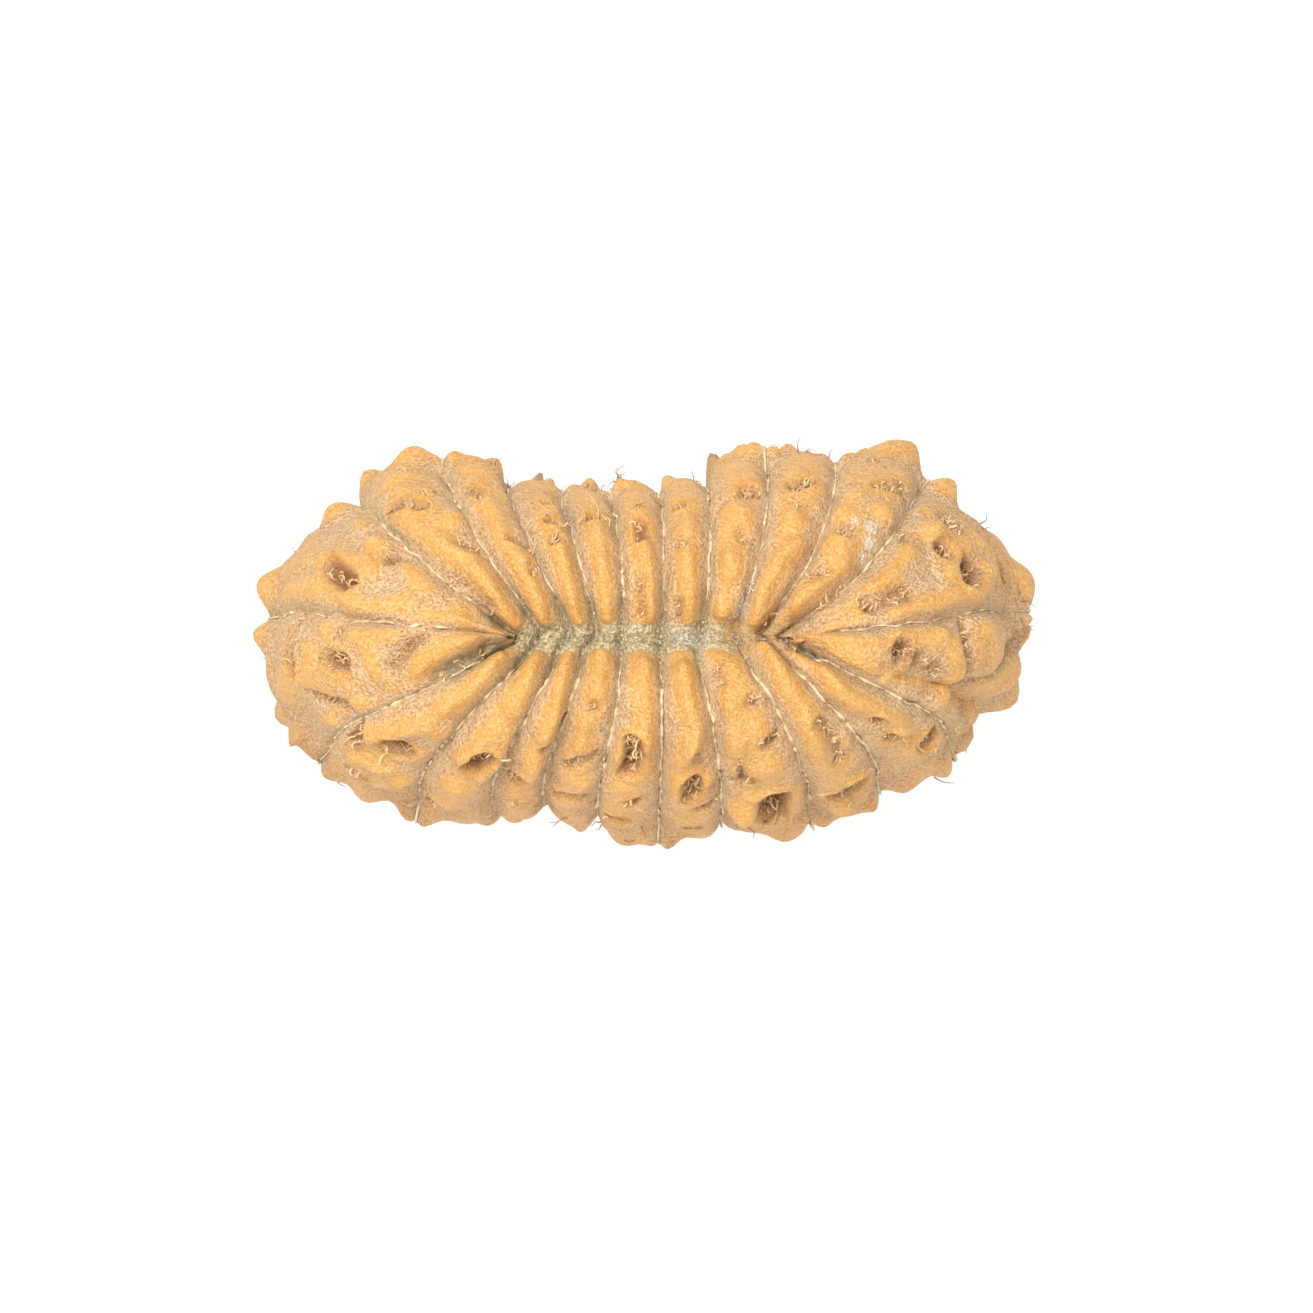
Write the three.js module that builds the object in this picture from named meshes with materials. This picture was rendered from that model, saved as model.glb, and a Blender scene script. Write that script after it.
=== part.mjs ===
// A rudraksha seed: one woody stone with 22 lobes that run from the long seam on top to the seam below.
//
// Millimetres, +Z up. The long axis is X, the photographed front is -Y, and the seed rests on Z = 0 on the
// flat scar under its middle, which is centred on the origin.
//
// A place on the stone is (s, t). s counts the furrows clockwise as seen from above, so lobe 3 lies between
// s = 3 and s = 4. t runs down a lobe: 0 at the top seam, 1 at the widest level, 2 at the bottom seam.
// Each lobe has its own (across, along): across is s from the lobe's own first furrow, along is t.
import * as THREE from "three";

// Driving sizes of the smooth body, before the relief is raised on it
const HALF_LENGTH = 18.85;
const BACK_DEPTH = 9.7;
const FRONT_DEPTH = 8.7;
const PLAN_POWER = 2.35;
const CROWN_HEIGHT = 24.2;
const EQUATOR_HEIGHT = 12.6;
const KEEL_HEIGHT = 1.0;
const TOP_POWER = 2.25;
const BOTTOM_POWER = 2.3;

// The top seam lies a little in front of the middle, in a shallow valley; the bottom seam is shorter
const SEAM_Y = -1.3;
const VALLEY_DEPTH = 1.7;
const VALLEY_WIDTH = 1.7;
const TOP_FLOOR_DROP = 0.35;
const BOTTOM_SEAM_LENGTH = 0.7;
const BOTTOM_SEAM_WIDTH = 0.5;
const BOTTOM_FLOOR_DROP = 0.2;

// The flat scar that the seed rests on, as the half sizes of an oval, and how far out it fades
const SCAR_HALF_LENGTH = 3.2;
const SCAR_HALF_WIDTH = 1.9;
const SCAR_FADE = 0.45;

// Relief of every lobe: how far it swells, and how deep and wide the furrow beside it is
const LOBE_SWELL = 0.65;
const FULL_SWELL_WIDTH = 2.0;
const SWELL_SQUARENESS = 0.7;
const FURROW_DEPTH = 0.35;
const FURROW_WIDTH = 0.4;
const FULL_FURROW_WIDTH = 2.6;
const FURROW_SQUARENESS = 1.5;
const SEAM_END_DEPTH = 0.2;
const SEAM_END_REACH = 0.22;
const LOBE_END_REACH = 0.045;
const LOBE_END_SWELL = 0.3;
const RELIEF_FADE = 0.3;

// How the rim of the plan departs from an even oval: where along X, on the back (1) or the front (-1), how far
// it is pushed in x and y, how wide the push is, and how square
const RIM_PUSHES = [
  { x: -1.9, side: 1, push: [0, -2.4], width: 5.6, power: 3.5 },
  { x: 13, side: 1, push: [0, 1.4], width: 3.2, power: 2 },
  { x: -13, side: 1, push: [0, 0.7], width: 3.2, power: 2 },
  { x: 15, side: -1, push: [0, 0.9], width: 4, power: 2 },
  { x: -5, side: -1, push: [0, 0.9], width: 2.9, power: 2 },
  { x: 17.9, side: -1, push: [-2.6, 1.2], width: 1, power: 2 },
  { x: -17.9, side: -1, push: [1.2, 0.2], width: 1.1, power: 2 },
  { x: -16.2, side: 1, push: [0.3, -0.2], width: 1.8, power: 2 },
  { x: 4.3, side: 1, push: [0, -0.2], width: 1.5, power: 2 },
];

// Each furrow, clockwise from the left end: where it leaves the top seam (x, then y from the seam's line),
// the angle at which it meets the rim, its sideways bend, and the number of strips in the lobe after it
const FURROWS = [
  [-6.6, 0.07, 174, 0.8, 9],
  [-6.35, 0.26, 138.5, 0.8, 7],
  [-5.1, 0.4, 119.5, 0.6, 5],
  [-3.65, 0.33, 108.5, 0.2, 5],
  [-2.3, 0.36, 100, 0, 5],
  [-1.05, 0.36, 93.5, -0.3, 5],
  [1, 0.4, 88.5, -0.15, 5],
  [3, 0.43, 83, -0.35, 5],
  [4.6, 0.43, 74, -0.7, 5],
  [5.9, 0.3, 62, -1.05, 7],
  [6.8, 0.1, 43, -1.3, 9],
  [7.5, 0.07, 7, -0.9, 9],
  [7.4, -0.07, -36, -0.7, 7],
  [6.5, -0.26, -53.5, -0.4, 5],
  [5, -0.3, -66.5, -0.2, 5],
  [2.7, -0.4, -80.5, 0.05, 5],
  [0.85, -0.36, -88.5, 0.2, 5],
  [-1.1, -0.33, -95, 0.4, 5],
  [-3, -0.36, -102.5, 0.45, 5],
  [-4.25, -0.4, -110.5, 0.5, 5],
  [-5.55, -0.33, -124, 0.5, 7],
  [-6.5, -0.17, -147, 0.8, 9],
];
const LOBES = FURROWS.length;
const STRIP_EASE = 0.5;
const TOP_ROWS = 20;
const LOWER_ROWS = 20;

// The kinds of relief. A knob or ridge rises, a crease sinks, and a pit sinks inside a low raised lip.
const KNOB = "knob";
const RIDGE = "ridge";
const CREASE = "crease";
const PIT = "pit";
const KNOB_SQUARENESS = 2.3;
const PIT_SQUARENESS = 3.5;
const LIP_HEIGHT = 0.22;
const LIP_REACH = 1.4;
const LIP_WIDTH = 0.45;

// The relief that shows from above and in front: lobe, kind, half width, height or depth, and its points
// as [across, along]
const SEEN_RELIEF = [
  [0, KNOB, 0.95, 1.2, [0.18, 0.93]],
  [0, KNOB, 0.8, 0.2, [0.4, 0.92]],
  [0, KNOB, 0.7, 0.2, [0.62, 0.91]],
  [0, KNOB, 0.95, 1.0, [0.88, 0.88]],
  [0, RIDGE, 0.5, 0.6, [0.43, 0.57], [0.54, 0.51], [0.59, 0.43], [0.56, 0.39]],
  [0, RIDGE, 0.75, 0.6, [0.14, 0.72], [0.18, 0.6], [0.2, 0.5], [0.17, 0.42]],
  [0, RIDGE, 0.7, 0.6, [0.11, 0.38], [0.2, 0.3], [0.35, 0.25]],
  [0, RIDGE, 0.65, 0.35, [0.78, 0.31], [0.74, 0.22]],
  [0, RIDGE, 0.4, 0.35, [0.2, 0.18], [0.28, 0.11]],
  [0, KNOB, 0.7, 0.6, [0.85, 0.455]],
  [0, KNOB, 0.55, 0.35, [0.9, 0.58]],
  [0, PIT, 0.45, 0.9, [0.42, 0.52], [0.35, 0.43]],
  [0, PIT, 0.35, 0.4, [0.8, 0.38]],
  [0, CREASE, 0.25, 0.3, [0.8, 0.375], [0.9, 0.345]],
  [1, KNOB, 1.05, 1.2, [0.74, 0.87]],
  [1, KNOB, 0.85, 0.2, [0.3, 0.87]],
  [1, PIT, 0.5, 0.9, [0.22, 0.52], [0.33, 0.49]],
  [1, PIT, 0.42, 1.0, [0.51, 0.45]],
  [1, KNOB, 0.5, 0.3, [0.4, 0.57]],
  [1, KNOB, 0.75, 0.5, [0.45, 0.66]],
  [1, PIT, 0.3, 0.35, [0.68, 0.52]],
  [1, PIT, 0.45, 0.4, [0.58, 0.7]],
  [1, KNOB, 0.65, 0.55, [0.78, 0.37]],
  [1, CREASE, 0.3, 0.35, [0.62, 0.27], [0.82, 0.25], [0.97, 0.24]],
  [1, RIDGE, 0.65, 0.6, [0.12, 0.48], [0.3, 0.34], [0.36, 0.27], [0.55, 0.2], [0.5, 0.12], [0.45, 0.04]],
  [1, CREASE, 0.35, 0.4, [0.1, 0.2], [0.24, 0.09]],
  [2, KNOB, 0.8, 0.9, [0.06, 0.83]],
  [2, KNOB, 0.6, 0.3, [0.5, 0.83]],
  [2, KNOB, 0.6, 0.3, [0.85, 0.82]],
  [2, PIT, 0.35, 0.5, [0.3, 0.52], [0.42, 0.46]],
  [2, RIDGE, 0.6, 0.4, [0.15, 0.68], [0.5, 0.64]],
  [2, CREASE, 0.25, 0.3, [0.5, 0.265], [0.85, 0.255]],
  [2, PIT, 0.3, 0.3, [0.69, 0.16]],
  [2, RIDGE, 0.55, 0.55, [0.4, 0.41], [0.4, 0.3], [0.42, 0.2], [0.5, 0.1], [0.5, 0.04]],
  [3, KNOB, 0.8, 0.3, [0.3, 0.8]],
  [3, KNOB, 0.7, 0.6, [0.92, 0.8]],
  [3, PIT, 0.4, 0.7, [0.58, 0.4]],
  [3, PIT, 0.38, 0.7, [0.52, 0.295]],
  [3, PIT, 0.3, 0.35, [0.59, 0.53]],
  [3, RIDGE, 0.5, 0.5, [0.5, 0.24], [0.52, 0.12], [0.55, 0.04]],
  [4, KNOB, 0.8, 0.5, [0.2, 0.8]],
  [4, KNOB, 0.6, 0.4, [0.92, 0.8]],
  [4, PIT, 0.45, 0.8, [0.49, 0.43]],
  [4, RIDGE, 0.5, 0.45, [0.5, 0.35], [0.5, 0.2], [0.5, 0.05]],
  [5, KNOB, 0.8, 0.4, [0.5, 0.8]],
  [5, KNOB, 0.5, 0.6, [0.12, 0.79]],
  [5, PIT, 0.35, 0.6, [0.55, 0.4], [0.55, 0.31]],
  [5, PIT, 0.3, 0.3, [0.55, 0.5]],
  [5, CREASE, 0.3, 0.35, [0.45, 0.15], [0.5, 0.06]],
  [5, RIDGE, 0.42, 0.45, [0.62, 0.26], [0.75, 0.13], [0.72, 0.05]],
  [6, KNOB, 0.8, 0.7, [0.14, 0.81]],
  [6, PIT, 0.42, 0.7, [0.41, 0.49]],
  [6, CREASE, 0.25, 0.3, [0.2, 0.29], [0.45, 0.26]],
  [6, CREASE, 0.25, 0.3, [0.35, 0.09], [0.35, 0.04]],
  [6, RIDGE, 0.5, 0.45, [0.55, 0.38], [0.55, 0.24], [0.65, 0.12], [0.65, 0.03]],
  [7, KNOB, 0.7, 0.1, [0.38, 0.83]],
  [7, KNOB, 0.7, 0.8, [0.92, 0.83]],
  [7, CREASE, 0.35, 0.6, [0.05, 0.43], [0.3, 0.445], [0.6, 0.455], [0.78, 0.47]],
  [7, PIT, 0.42, 0.6, [0.64, 0.49]],
  [7, CREASE, 0.22, 0.3, [0.53, 0.28], [0.62, 0.245], [0.78, 0.24]],
  [7, KNOB, 0.7, 0.6, [0.45, 0.17]],
  [7, KNOB, 0.55, 0.5, [0.4, 0.06]],
  [7, RIDGE, 0.65, 0.45, [0.4, 0.38], [0.6, 0.34]],
  [8, KNOB, 0.7, 0.4, [0.1, 0.84]],
  [8, KNOB, 0.7, 0.25, [0.45, 0.83]],
  [8, KNOB, 0.7, 0.45, [0.9, 0.84]],
  [8, PIT, 0.45, 0.6, [0.4, 0.5], [0.6, 0.53]],
  [8, PIT, 0.3, 0.4, [0.53, 0.39]],
  [8, KNOB, 0.6, 0.5, [0.42, 0.335]],
  [8, RIDGE, 0.55, 0.6, [0.45, 0.04], [0.35, 0.11], [0.5, 0.17], [0.75, 0.25]],
  [8, PIT, 0.3, 0.4, [0.88, 0.05]],
  [9, KNOB, 1.0, 0.7, [0.6, 0.85]],
  [9, KNOB, 0.7, 0.4, [0.08, 0.85]],
  [9, PIT, 0.42, 0.6, [0.57, 0.535], [0.68, 0.565]],
  [9, CREASE, 0.3, 0.25, [0.75, 0.62], [0.9, 0.6]],
  [9, PIT, 0.3, 0.3, [0.4, 0.72]],
  [9, KNOB, 0.65, 0.55, [0.22, 0.38]],
  [9, PIT, 0.45, 0.4, [0.42, 0.31]],
  [9, KNOB, 0.65, 0.6, [0.77, 0.43]],
  [9, KNOB, 0.6, 0.35, [0.3, 0.48]],
  [9, RIDGE, 0.7, 0.55, [0.25, 0.26], [0.5, 0.25], [0.75, 0.22]],
  [9, CREASE, 0.25, 0.3, [0.3, 0.155], [0.6, 0.17]],
  [9, RIDGE, 0.5, 0.5, [0.45, 0.09], [0.62, 0.13], [0.8, 0.19]],
  [9, CREASE, 0.32, 0.45, [0.94, 0.04], [0.96, 0.17]],
  [10, KNOB, 0.9, 1.3, [0.07, 0.86]],
  [10, KNOB, 0.8, 0.35, [0.32, 0.88]],
  [10, KNOB, 0.9, 0.8, [0.52, 0.93]],
  [10, KNOB, 1.15, 1.5, [0.8, 0.95]],
  [10, PIT, 0.4, 0.6, [0.12, 0.43]],
  [10, KNOB, 0.6, 0.6, [0.2, 0.54]],
  [10, KNOB, 0.5, 0.5, [0.07, 0.61]],
  [10, RIDGE, 0.6, 0.55, [0.18, 0.38], [0.25, 0.33], [0.3, 0.25]],
  [10, PIT, 0.55, 0.8, [0.38, 0.53]],
  [10, PIT, 0.8, 0.4, [0.27, 0.68]],
  [10, PIT, 0.6, 0.95, [0.62, 0.6], [0.7, 0.56]],
  [10, KNOB, 0.55, 0.5, [0.58, 0.48]],
  [10, RIDGE, 0.55, 0.65, [0.88, 0.27], [0.8, 0.33], [0.85, 0.4], [0.85, 0.5], [0.82, 0.6], [0.72, 0.68]],
  [10, PIT, 0.5, 0.35, [0.5, 0.2], [0.58, 0.3]],
  [10, PIT, 0.45, 0.6, [0.74, 0.82]],
  [10, RIDGE, 0.55, 0.4, [0.52, 0.72], [0.6, 0.75]],
  [11, CREASE, 0.35, 0.7, [0.06, 0.98], [0.25, 0.8], [0.38, 0.79], [0.58, 0.71]],
  [11, KNOB, 1.0, 1.4, [0.05, 0.97]],
  [11, KNOB, 0.9, 0.4, [0.32, 0.94]],
  [11, KNOB, 0.8, 0.2, [0.54, 0.98]],
  [11, KNOB, 0.95, 0.9, [0.8, 0.97]],
  [11, PIT, 0.45, 0.8, [0.27, 0.28]],
  [11, CREASE, 0.4, 0.4, [0.3, 0.31], [0.4, 0.4], [0.45, 0.47]],
  [11, RIDGE, 0.55, 0.5, [0.1, 0.06], [0.15, 0.14], [0.2, 0.21]],
  [11, RIDGE, 0.55, 0.55, [0.1, 0.26], [0.14, 0.33], [0.12, 0.4]],
  [11, RIDGE, 0.75, 0.6, [0.45, 0.15], [0.56, 0.24], [0.75, 0.3], [0.85, 0.33]],
  [11, CREASE, 0.35, 0.8, [0.03, 0.53], [0.15, 0.53], [0.25, 0.54], [0.35, 0.58], [0.45, 0.62]],
  [11, KNOB, 0.65, 0.5, [0.1, 0.62]],
  [11, RIDGE, 0.55, 0.5, [0.3, 0.48], [0.4, 0.54]],
  [11, KNOB, 0.65, 0.55, [0.84, 0.64]],
  [12, KNOB, 1.0, 1.2, [0.1, 1.08]],
  [12, KNOB, 0.8, 0.5, [0.7, 1.05]],
  [12, KNOB, 0.8, 0.45, [0.9, 1.04]],
  [12, PIT, 0.38, 0.45, [0.52, 0.465]],
  [12, PIT, 0.5, 0.75, [0.56, 0.6]],
  [12, PIT, 0.65, 1.0, [0.28, 0.76]],
  [12, RIDGE, 0.55, 0.6, [0.28, 0.16], [0.32, 0.3], [0.25, 0.4], [0.28, 0.5], [0.38, 0.57]],
  [12, RIDGE, 0.5, 0.4, [0.7, 0.26], [0.65, 0.36]],
  [12, CREASE, 0.4, 0.7, [0.1, 0.02], [0.06, 0.12]],
  [13, KNOB, 0.7, 0.8, [0.1, 1.1]],
  [13, KNOB, 0.8, 0.4, [0.36, 1.12]],
  [13, KNOB, 0.6, 0.5, [0.62, 0.98]],
  [13, KNOB, 0.8, 1.0, [0.93, 1.12]],
  [13, CREASE, 0.3, 0.5, [0.34, 0.37], [0.28, 0.43], [0.35, 0.5], [0.38, 0.57]],
  [13, PIT, 0.35, 0.4, [0.42, 0.61]],
  [13, PIT, 0.6, 0.9, [0.35, 0.83], [0.6, 0.88]],
  [13, KNOB, 0.6, 0.5, [0.15, 0.53]],
  [13, RIDGE, 0.6, 0.6, [0.5, 0.05], [0.5, 0.15], [0.45, 0.22], [0.42, 0.3], [0.58, 0.4], [0.62, 0.5]],
  [14, KNOB, 1.0, 0.8, [0.24, 1.15]],
  [14, KNOB, 0.6, 0.1, [0.78, 1.12]],
  [14, KNOB, 0.7, 0.6, [0.84, 0.86]],
  [14, PIT, 0.35, 0.4, [0.29, 0.25]],
  [14, PIT, 0.42, 0.6, [0.24, 0.43]],
  [14, KNOB, 0.6, 0.45, [0.3, 0.36]],
  [14, RIDGE, 0.5, 0.55, [0.68, 0.24], [0.7, 0.34], [0.75, 0.45], [0.78, 0.56]],
  [14, PIT, 0.4, 0.7, [0.68, 0.63]],
  [14, CREASE, 0.22, 0.4, [0.75, 0.5], [0.72, 0.62], [0.9, 0.68]],
  [14, KNOB, 0.85, 0.4, [0.35, 0.55]],
  [14, PIT, 0.75, 1.2, [0.42, 0.78], [0.47, 0.92]],
  [14, KNOB, 0.75, 0.7, [0.79, 0.82]],
  [14, CREASE, 0.3, 0.3, [0.72, 0.1], [0.72, 0.18]],
  [15, KNOB, 0.7, 0.45, [0.08, 1.12]],
  [15, KNOB, 0.8, 0.15, [0.36, 1.14]],
  [15, KNOB, 0.85, 1.3, [0.96, 1.16]],
  [15, RIDGE, 0.55, 0.65, [0.5, 0.14], [0.47, 0.22], [0.26, 0.33], [0.45, 0.41]],
  [15, RIDGE, 0.55, 0.65, [0.45, 0.41], [0.68, 0.48], [0.74, 0.6], [0.74, 0.68]],
  [15, CREASE, 0.25, 0.35, [0.38, 0.42], [0.38, 0.49]],
  [15, PIT, 0.5, 0.9, [0.5, 0.6], [0.53, 0.69]],
  [15, KNOB, 0.55, 0.5, [0.2, 0.6]],
  [15, CREASE, 0.25, 0.4, [0.1, 0.8], [0.42, 0.82]],
  [15, PIT, 0.45, 0.7, [0.52, 0.97]],
  [16, KNOB, 0.7, 0.4, [0.1, 1.1]],
  [16, KNOB, 0.9, 0.6, [0.42, 1.15]],
  [16, KNOB, 0.6, 0.1, [0.78, 1.1]],
  [16, PIT, 0.45, 1.0, [0.5, 0.41], [0.47, 0.5], [0.5, 0.57]],
  [16, PIT, 0.35, 0.5, [0.38, 0.76]],
  [16, PIT, 0.55, 0.8, [0.6, 0.92]],
  [16, RIDGE, 0.55, 0.5, [0.35, 0.12], [0.3, 0.28], [0.28, 0.42]],
  [17, KNOB, 0.8, 0.25, [0.3, 1.12]],
  [17, KNOB, 0.7, 0.1, [0.74, 1.12]],
  [17, PIT, 0.33, 0.35, [0.47, 0.28]],
  [17, CREASE, 0.35, 0.45, [0.1, 0.52], [0.42, 0.56], [0.68, 0.62]],
  [17, CREASE, 0.3, 0.45, [0.15, 0.84], [0.5, 0.82], [0.75, 0.84]],
  [17, RIDGE, 0.55, 0.45, [0.45, 0.08], [0.4, 0.2]],
  [17, RIDGE, 0.5, 0.4, [0.6, 0.36], [0.55, 0.46]],
  [17, KNOB, 0.55, 0.45, [0.25, 0.7]],
  [18, KNOB, 0.7, 0.05, [0.2, 1.1]],
  [18, KNOB, 0.8, 0.3, [0.7, 1.12]],
  [18, PIT, 0.38, 0.45, [0.25, 0.505]],
  [18, RIDGE, 0.5, 0.55, [0.4, 0.08], [0.45, 0.2], [0.4, 0.32], [0.45, 0.42]],
  [18, PIT, 0.45, 0.6, [0.55, 0.71], [0.75, 0.68]],
  [18, PIT, 0.4, 0.5, [0.6, 0.88]],
  [18, RIDGE, 0.5, 0.45, [0.5, 0.55], [0.42, 0.65]],
  [19, KNOB, 0.9, 0.3, [0.3, 1.12]],
  [19, KNOB, 0.9, 0.95, [0.93, 1.12]],
  [19, PIT, 0.5, 1.0, [0.42, 0.5], [0.52, 0.57]],
  [19, RIDGE, 0.5, 0.6, [0.75, 0.52], [0.65, 0.42], [0.5, 0.37], [0.33, 0.4], [0.22, 0.5], [0.28, 0.62]],
  [19, KNOB, 0.7, 0.55, [0.55, 0.74]],
  [19, RIDGE, 0.5, 0.45, [0.45, 0.07], [0.4, 0.16], [0.36, 0.27]],
  [19, PIT, 0.4, 0.6, [0.72, 0.95]],
  [20, KNOB, 0.9, 0.75, [0.05, 1.1]],
  [20, KNOB, 0.9, 0.75, [0.48, 1.08]],
  [20, KNOB, 0.9, 0.9, [0.94, 1.05]],
  [20, PIT, 0.6, 1.0, [0.5, 0.57], [0.38, 0.6]],
  [20, RIDGE, 0.5, 0.6, [0.8, 0.58], [0.72, 0.5], [0.6, 0.45], [0.5, 0.39]],
  [20, KNOB, 0.65, 0.45, [0.2, 0.44]],
  [20, PIT, 0.45, 0.6, [0.86, 0.62], [0.8, 0.7]],
  [20, KNOB, 0.75, 0.6, [0.15, 0.8]],
  [20, PIT, 0.6, 0.5, [0.55, 0.9]],
  [20, RIDGE, 0.5, 0.4, [0.7, 0.75], [0.5, 0.74], [0.35, 0.72]],
  [20, RIDGE, 0.5, 0.4, [0.45, 0.1], [0.45, 0.22], [0.5, 0.32]],
  [21, KNOB, 1.1, 1.35, [0.28, 1.05]],
  [21, KNOB, 0.8, 0.15, [0.6, 1.0]],
  [21, KNOB, 0.95, 1.1, [0.92, 0.97]],
  [21, PIT, 0.38, 0.7, [0.67, 0.5], [0.64, 0.46]],
  [21, PIT, 0.45, 0.7, [0.68, 0.69]],
  [21, RIDGE, 0.35, 0.3, [0.8, 0.6], [0.74, 0.57]],
  [21, CREASE, 0.4, 0.7, [0.4, 0.7], [0.3, 0.64], [0.18, 0.6]],
  [21, CREASE, 0.35, 0.6, [0.9, 0.19], [0.78, 0.23], [0.65, 0.27], [0.52, 0.31]],
  [21, RIDGE, 0.5, 0.6, [0.88, 0.38], [0.88, 0.28]],
  [21, RIDGE, 0.6, 0.55, [0.35, 0.25], [0.45, 0.22], [0.55, 0.16], [0.65, 0.1]],
  [21, RIDGE, 0.5, 0.45, [0.75, 0.36], [0.55, 0.36]],
  [21, CREASE, 0.5, 0.6, [0.15, 0.22], [0.2, 0.15], [0.25, 0.08]],
  [21, KNOB, 0.65, 0.5, [0.14, 0.53]],
  [21, KNOB, 0.55, 0.5, [0.1, 0.72]],
  [21, KNOB, 0.65, 0.5, [0.92, 0.5]],
  [21, CREASE, 0.22, 0.3, [0.95, 0.44], [0.86, 0.46]],
  [21, CREASE, 0.3, 0.4, [0.97, 0.66], [0.82, 0.68]],
];

// The relief round the sides and underneath, which the photograph doesn't show: in each lobe, chains of
// knobs step from side to side, joined by ridges, with a pit beside each knob. It starts below what is seen.
const RANDOM_SEED = 22091;
const RANDOM_FACTOR = 48271;
const RANDOM_LIMIT = 2147483647;
const CHAIN_SPACING = 3.4;
const CHAIN_STEP = 2.8;
const CHAIN_START_BACK = 0.87;
const CHAIN_START_FRONT = 1.26;
const CHAIN_START_ENDS = 1.06;
const CHAIN_END = 1.84;
const CHAIN_SIDESTEP = 0.24;
const CHAIN_FULL_WIDTH = 2.6;
const CHAIN_GROWTH = 0.3;
const FIRST_KNOB_SHARE = 0.35;
const PIT_SIDESTEP = 1.3;
const SIDESTEP_SPREAD = [0.7, 1.3];
const STEP_SPREAD = [0.85, 1.15];
const KNOB_SIZES = [0.95, 1.25];
const KNOB_HEIGHTS = [0.75, 1.15];
const PIT_SIZES = [0.5, 0.7];
const PIT_DEPTHS = [0.5, 0.9];
const LINK_SIZE = 0.5;
const LINK_HEIGHT = 0.45;
const END_LOBES = [0, 10, 11, 21];

// A steady stream of numbers from 0 to 1, the same on every run
function makeRandom(seed) {
  let state = seed;
  return () => {
    state = (state * RANDOM_FACTOR) % RANDOM_LIMIT;
    return state / RANDOM_LIMIT;
  };
}

const mix = (a, b, share) => a + (b - a) * share;
const draw = (range, random) => mix(range[0], range[1], random());

// A power that keeps the sign of its base
const signedPower = (value, power) => Math.sign(value) * Math.abs(value) ** power;

// The furrow table read between its rows: seam x, seam y, rim angle and bend at s
function furrowAt(s) {
  const turns = Math.floor(s / LOBES);
  const place = s - turns * LOBES;
  const lobe = Math.floor(place);
  const share = place - lobe;
  const here = FURROWS[lobe];
  const next = FURROWS[(lobe + 1) % LOBES];
  const nextAngle = lobe === LOBES - 1 ? next[2] - 360 : next[2];
  return {
    seamX: mix(here[0], next[0], share),
    seamY: mix(here[1], next[1], share),
    angle: mix(here[2], nextAngle, share),
    bend: mix(here[3], next[3], share),
  };
}

// The rim of the plan at an angle in degrees
function rimPoint(angle) {
  const radians = THREE.MathUtils.degToRad(angle);
  const cosine = Math.cos(radians);
  const sine = Math.sin(radians);
  const depth = sine > 0 ? BACK_DEPTH : FRONT_DEPTH;
  const x = HALF_LENGTH * signedPower(cosine, 2 / PLAN_POWER);
  const y = depth * signedPower(sine, 2 / PLAN_POWER);
  const rim = [x, y];
  for (const part of RIM_PUSHES) {
    if (sine * part.side <= 0) continue;
    const offCentre = Math.abs((x - part.x) / part.width) ** part.power;
    const share = Math.exp(-offCentre) * Math.min(1, 2 * Math.abs(sine));
    rim[0] += part.push[0] * share;
    rim[1] += part.push[1] * share;
  }
  return rim;
}

// A point of the smooth body. In a lobe's own plane it runs along a quarter of a superellipse from the
// top seam out to the rim, then along another one back to the bottom seam.
function smoothPoint(s, t) {
  const furrow = furrowAt(s);
  const [rimX, rimY] = rimPoint(furrow.angle);
  const onTop = t <= 1;
  const startX = onTop ? furrow.seamX : BOTTOM_SEAM_LENGTH * furrow.seamX;
  const startY = onTop ? SEAM_Y + furrow.seamY : BOTTOM_SEAM_WIDTH * furrow.seamY;
  const sweep = ((onTop ? t : 2 - t) * Math.PI) / 2;
  const power = 2 / (onTop ? TOP_POWER : BOTTOM_POWER);
  const out = Math.abs(Math.sin(sweep)) ** power;
  const rise = Math.abs(Math.cos(sweep)) ** power;
  const runX = rimX - startX;
  const runY = rimY - startY;
  const run = Math.hypot(runX, runY);
  const bend = onTop ? (furrow.bend * 4 * out * (1 - out)) / run : 0;
  const x = startX + runX * out - runY * bend;
  const y = startY + runY * out + runX * bend;
  if (!onTop) return new THREE.Vector3(x, y, mix(EQUATOR_HEIGHT, KEEL_HEIGHT, rise));
  const fromSeam = Math.hypot(x - startX, y - startY);
  const valley = VALLEY_DEPTH * Math.exp(-((fromSeam / VALLEY_WIDTH) ** 2));
  return new THREE.Vector3(x, y, mix(EQUATOR_HEIGHT, CROWN_HEIGHT, rise) - valley);
}

// The direction that the smooth body faces at (s, t)
function facing(s, t) {
  const reach = 0.01;
  const before = Math.max(0, t - reach);
  const after = Math.min(2, t + reach);
  const acrossStep = smoothPoint(s + reach, t).sub(smoothPoint(s - reach, t));
  const alongStep = smoothPoint(s, after).sub(smoothPoint(s, before));
  return acrossStep.cross(alongStep).normalize();
}

// How wide a lobe is at a level, and how long it is from the rim down to the bottom seam
const lobeWidth = (lobe, t) => smoothPoint(lobe, t).distanceTo(smoothPoint(lobe + 1 - 1e-9, t));

function lowerLength(lobe) {
  const steps = 20;
  let length = 0;
  for (let i = 0; i < steps; i += 1) {
    const from = smoothPoint(lobe + 0.5, 1 + i / steps);
    length += from.distanceTo(smoothPoint(lobe + 0.5, 1 + (i + 1) / steps));
  }
  return length;
}

// Where a lobe's chains start
function chainStart(lobe) {
  if (END_LOBES.includes(lobe)) return CHAIN_START_ENDS;
  return lobe < LOBES / 2 ? CHAIN_START_BACK : CHAIN_START_FRONT;
}

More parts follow.
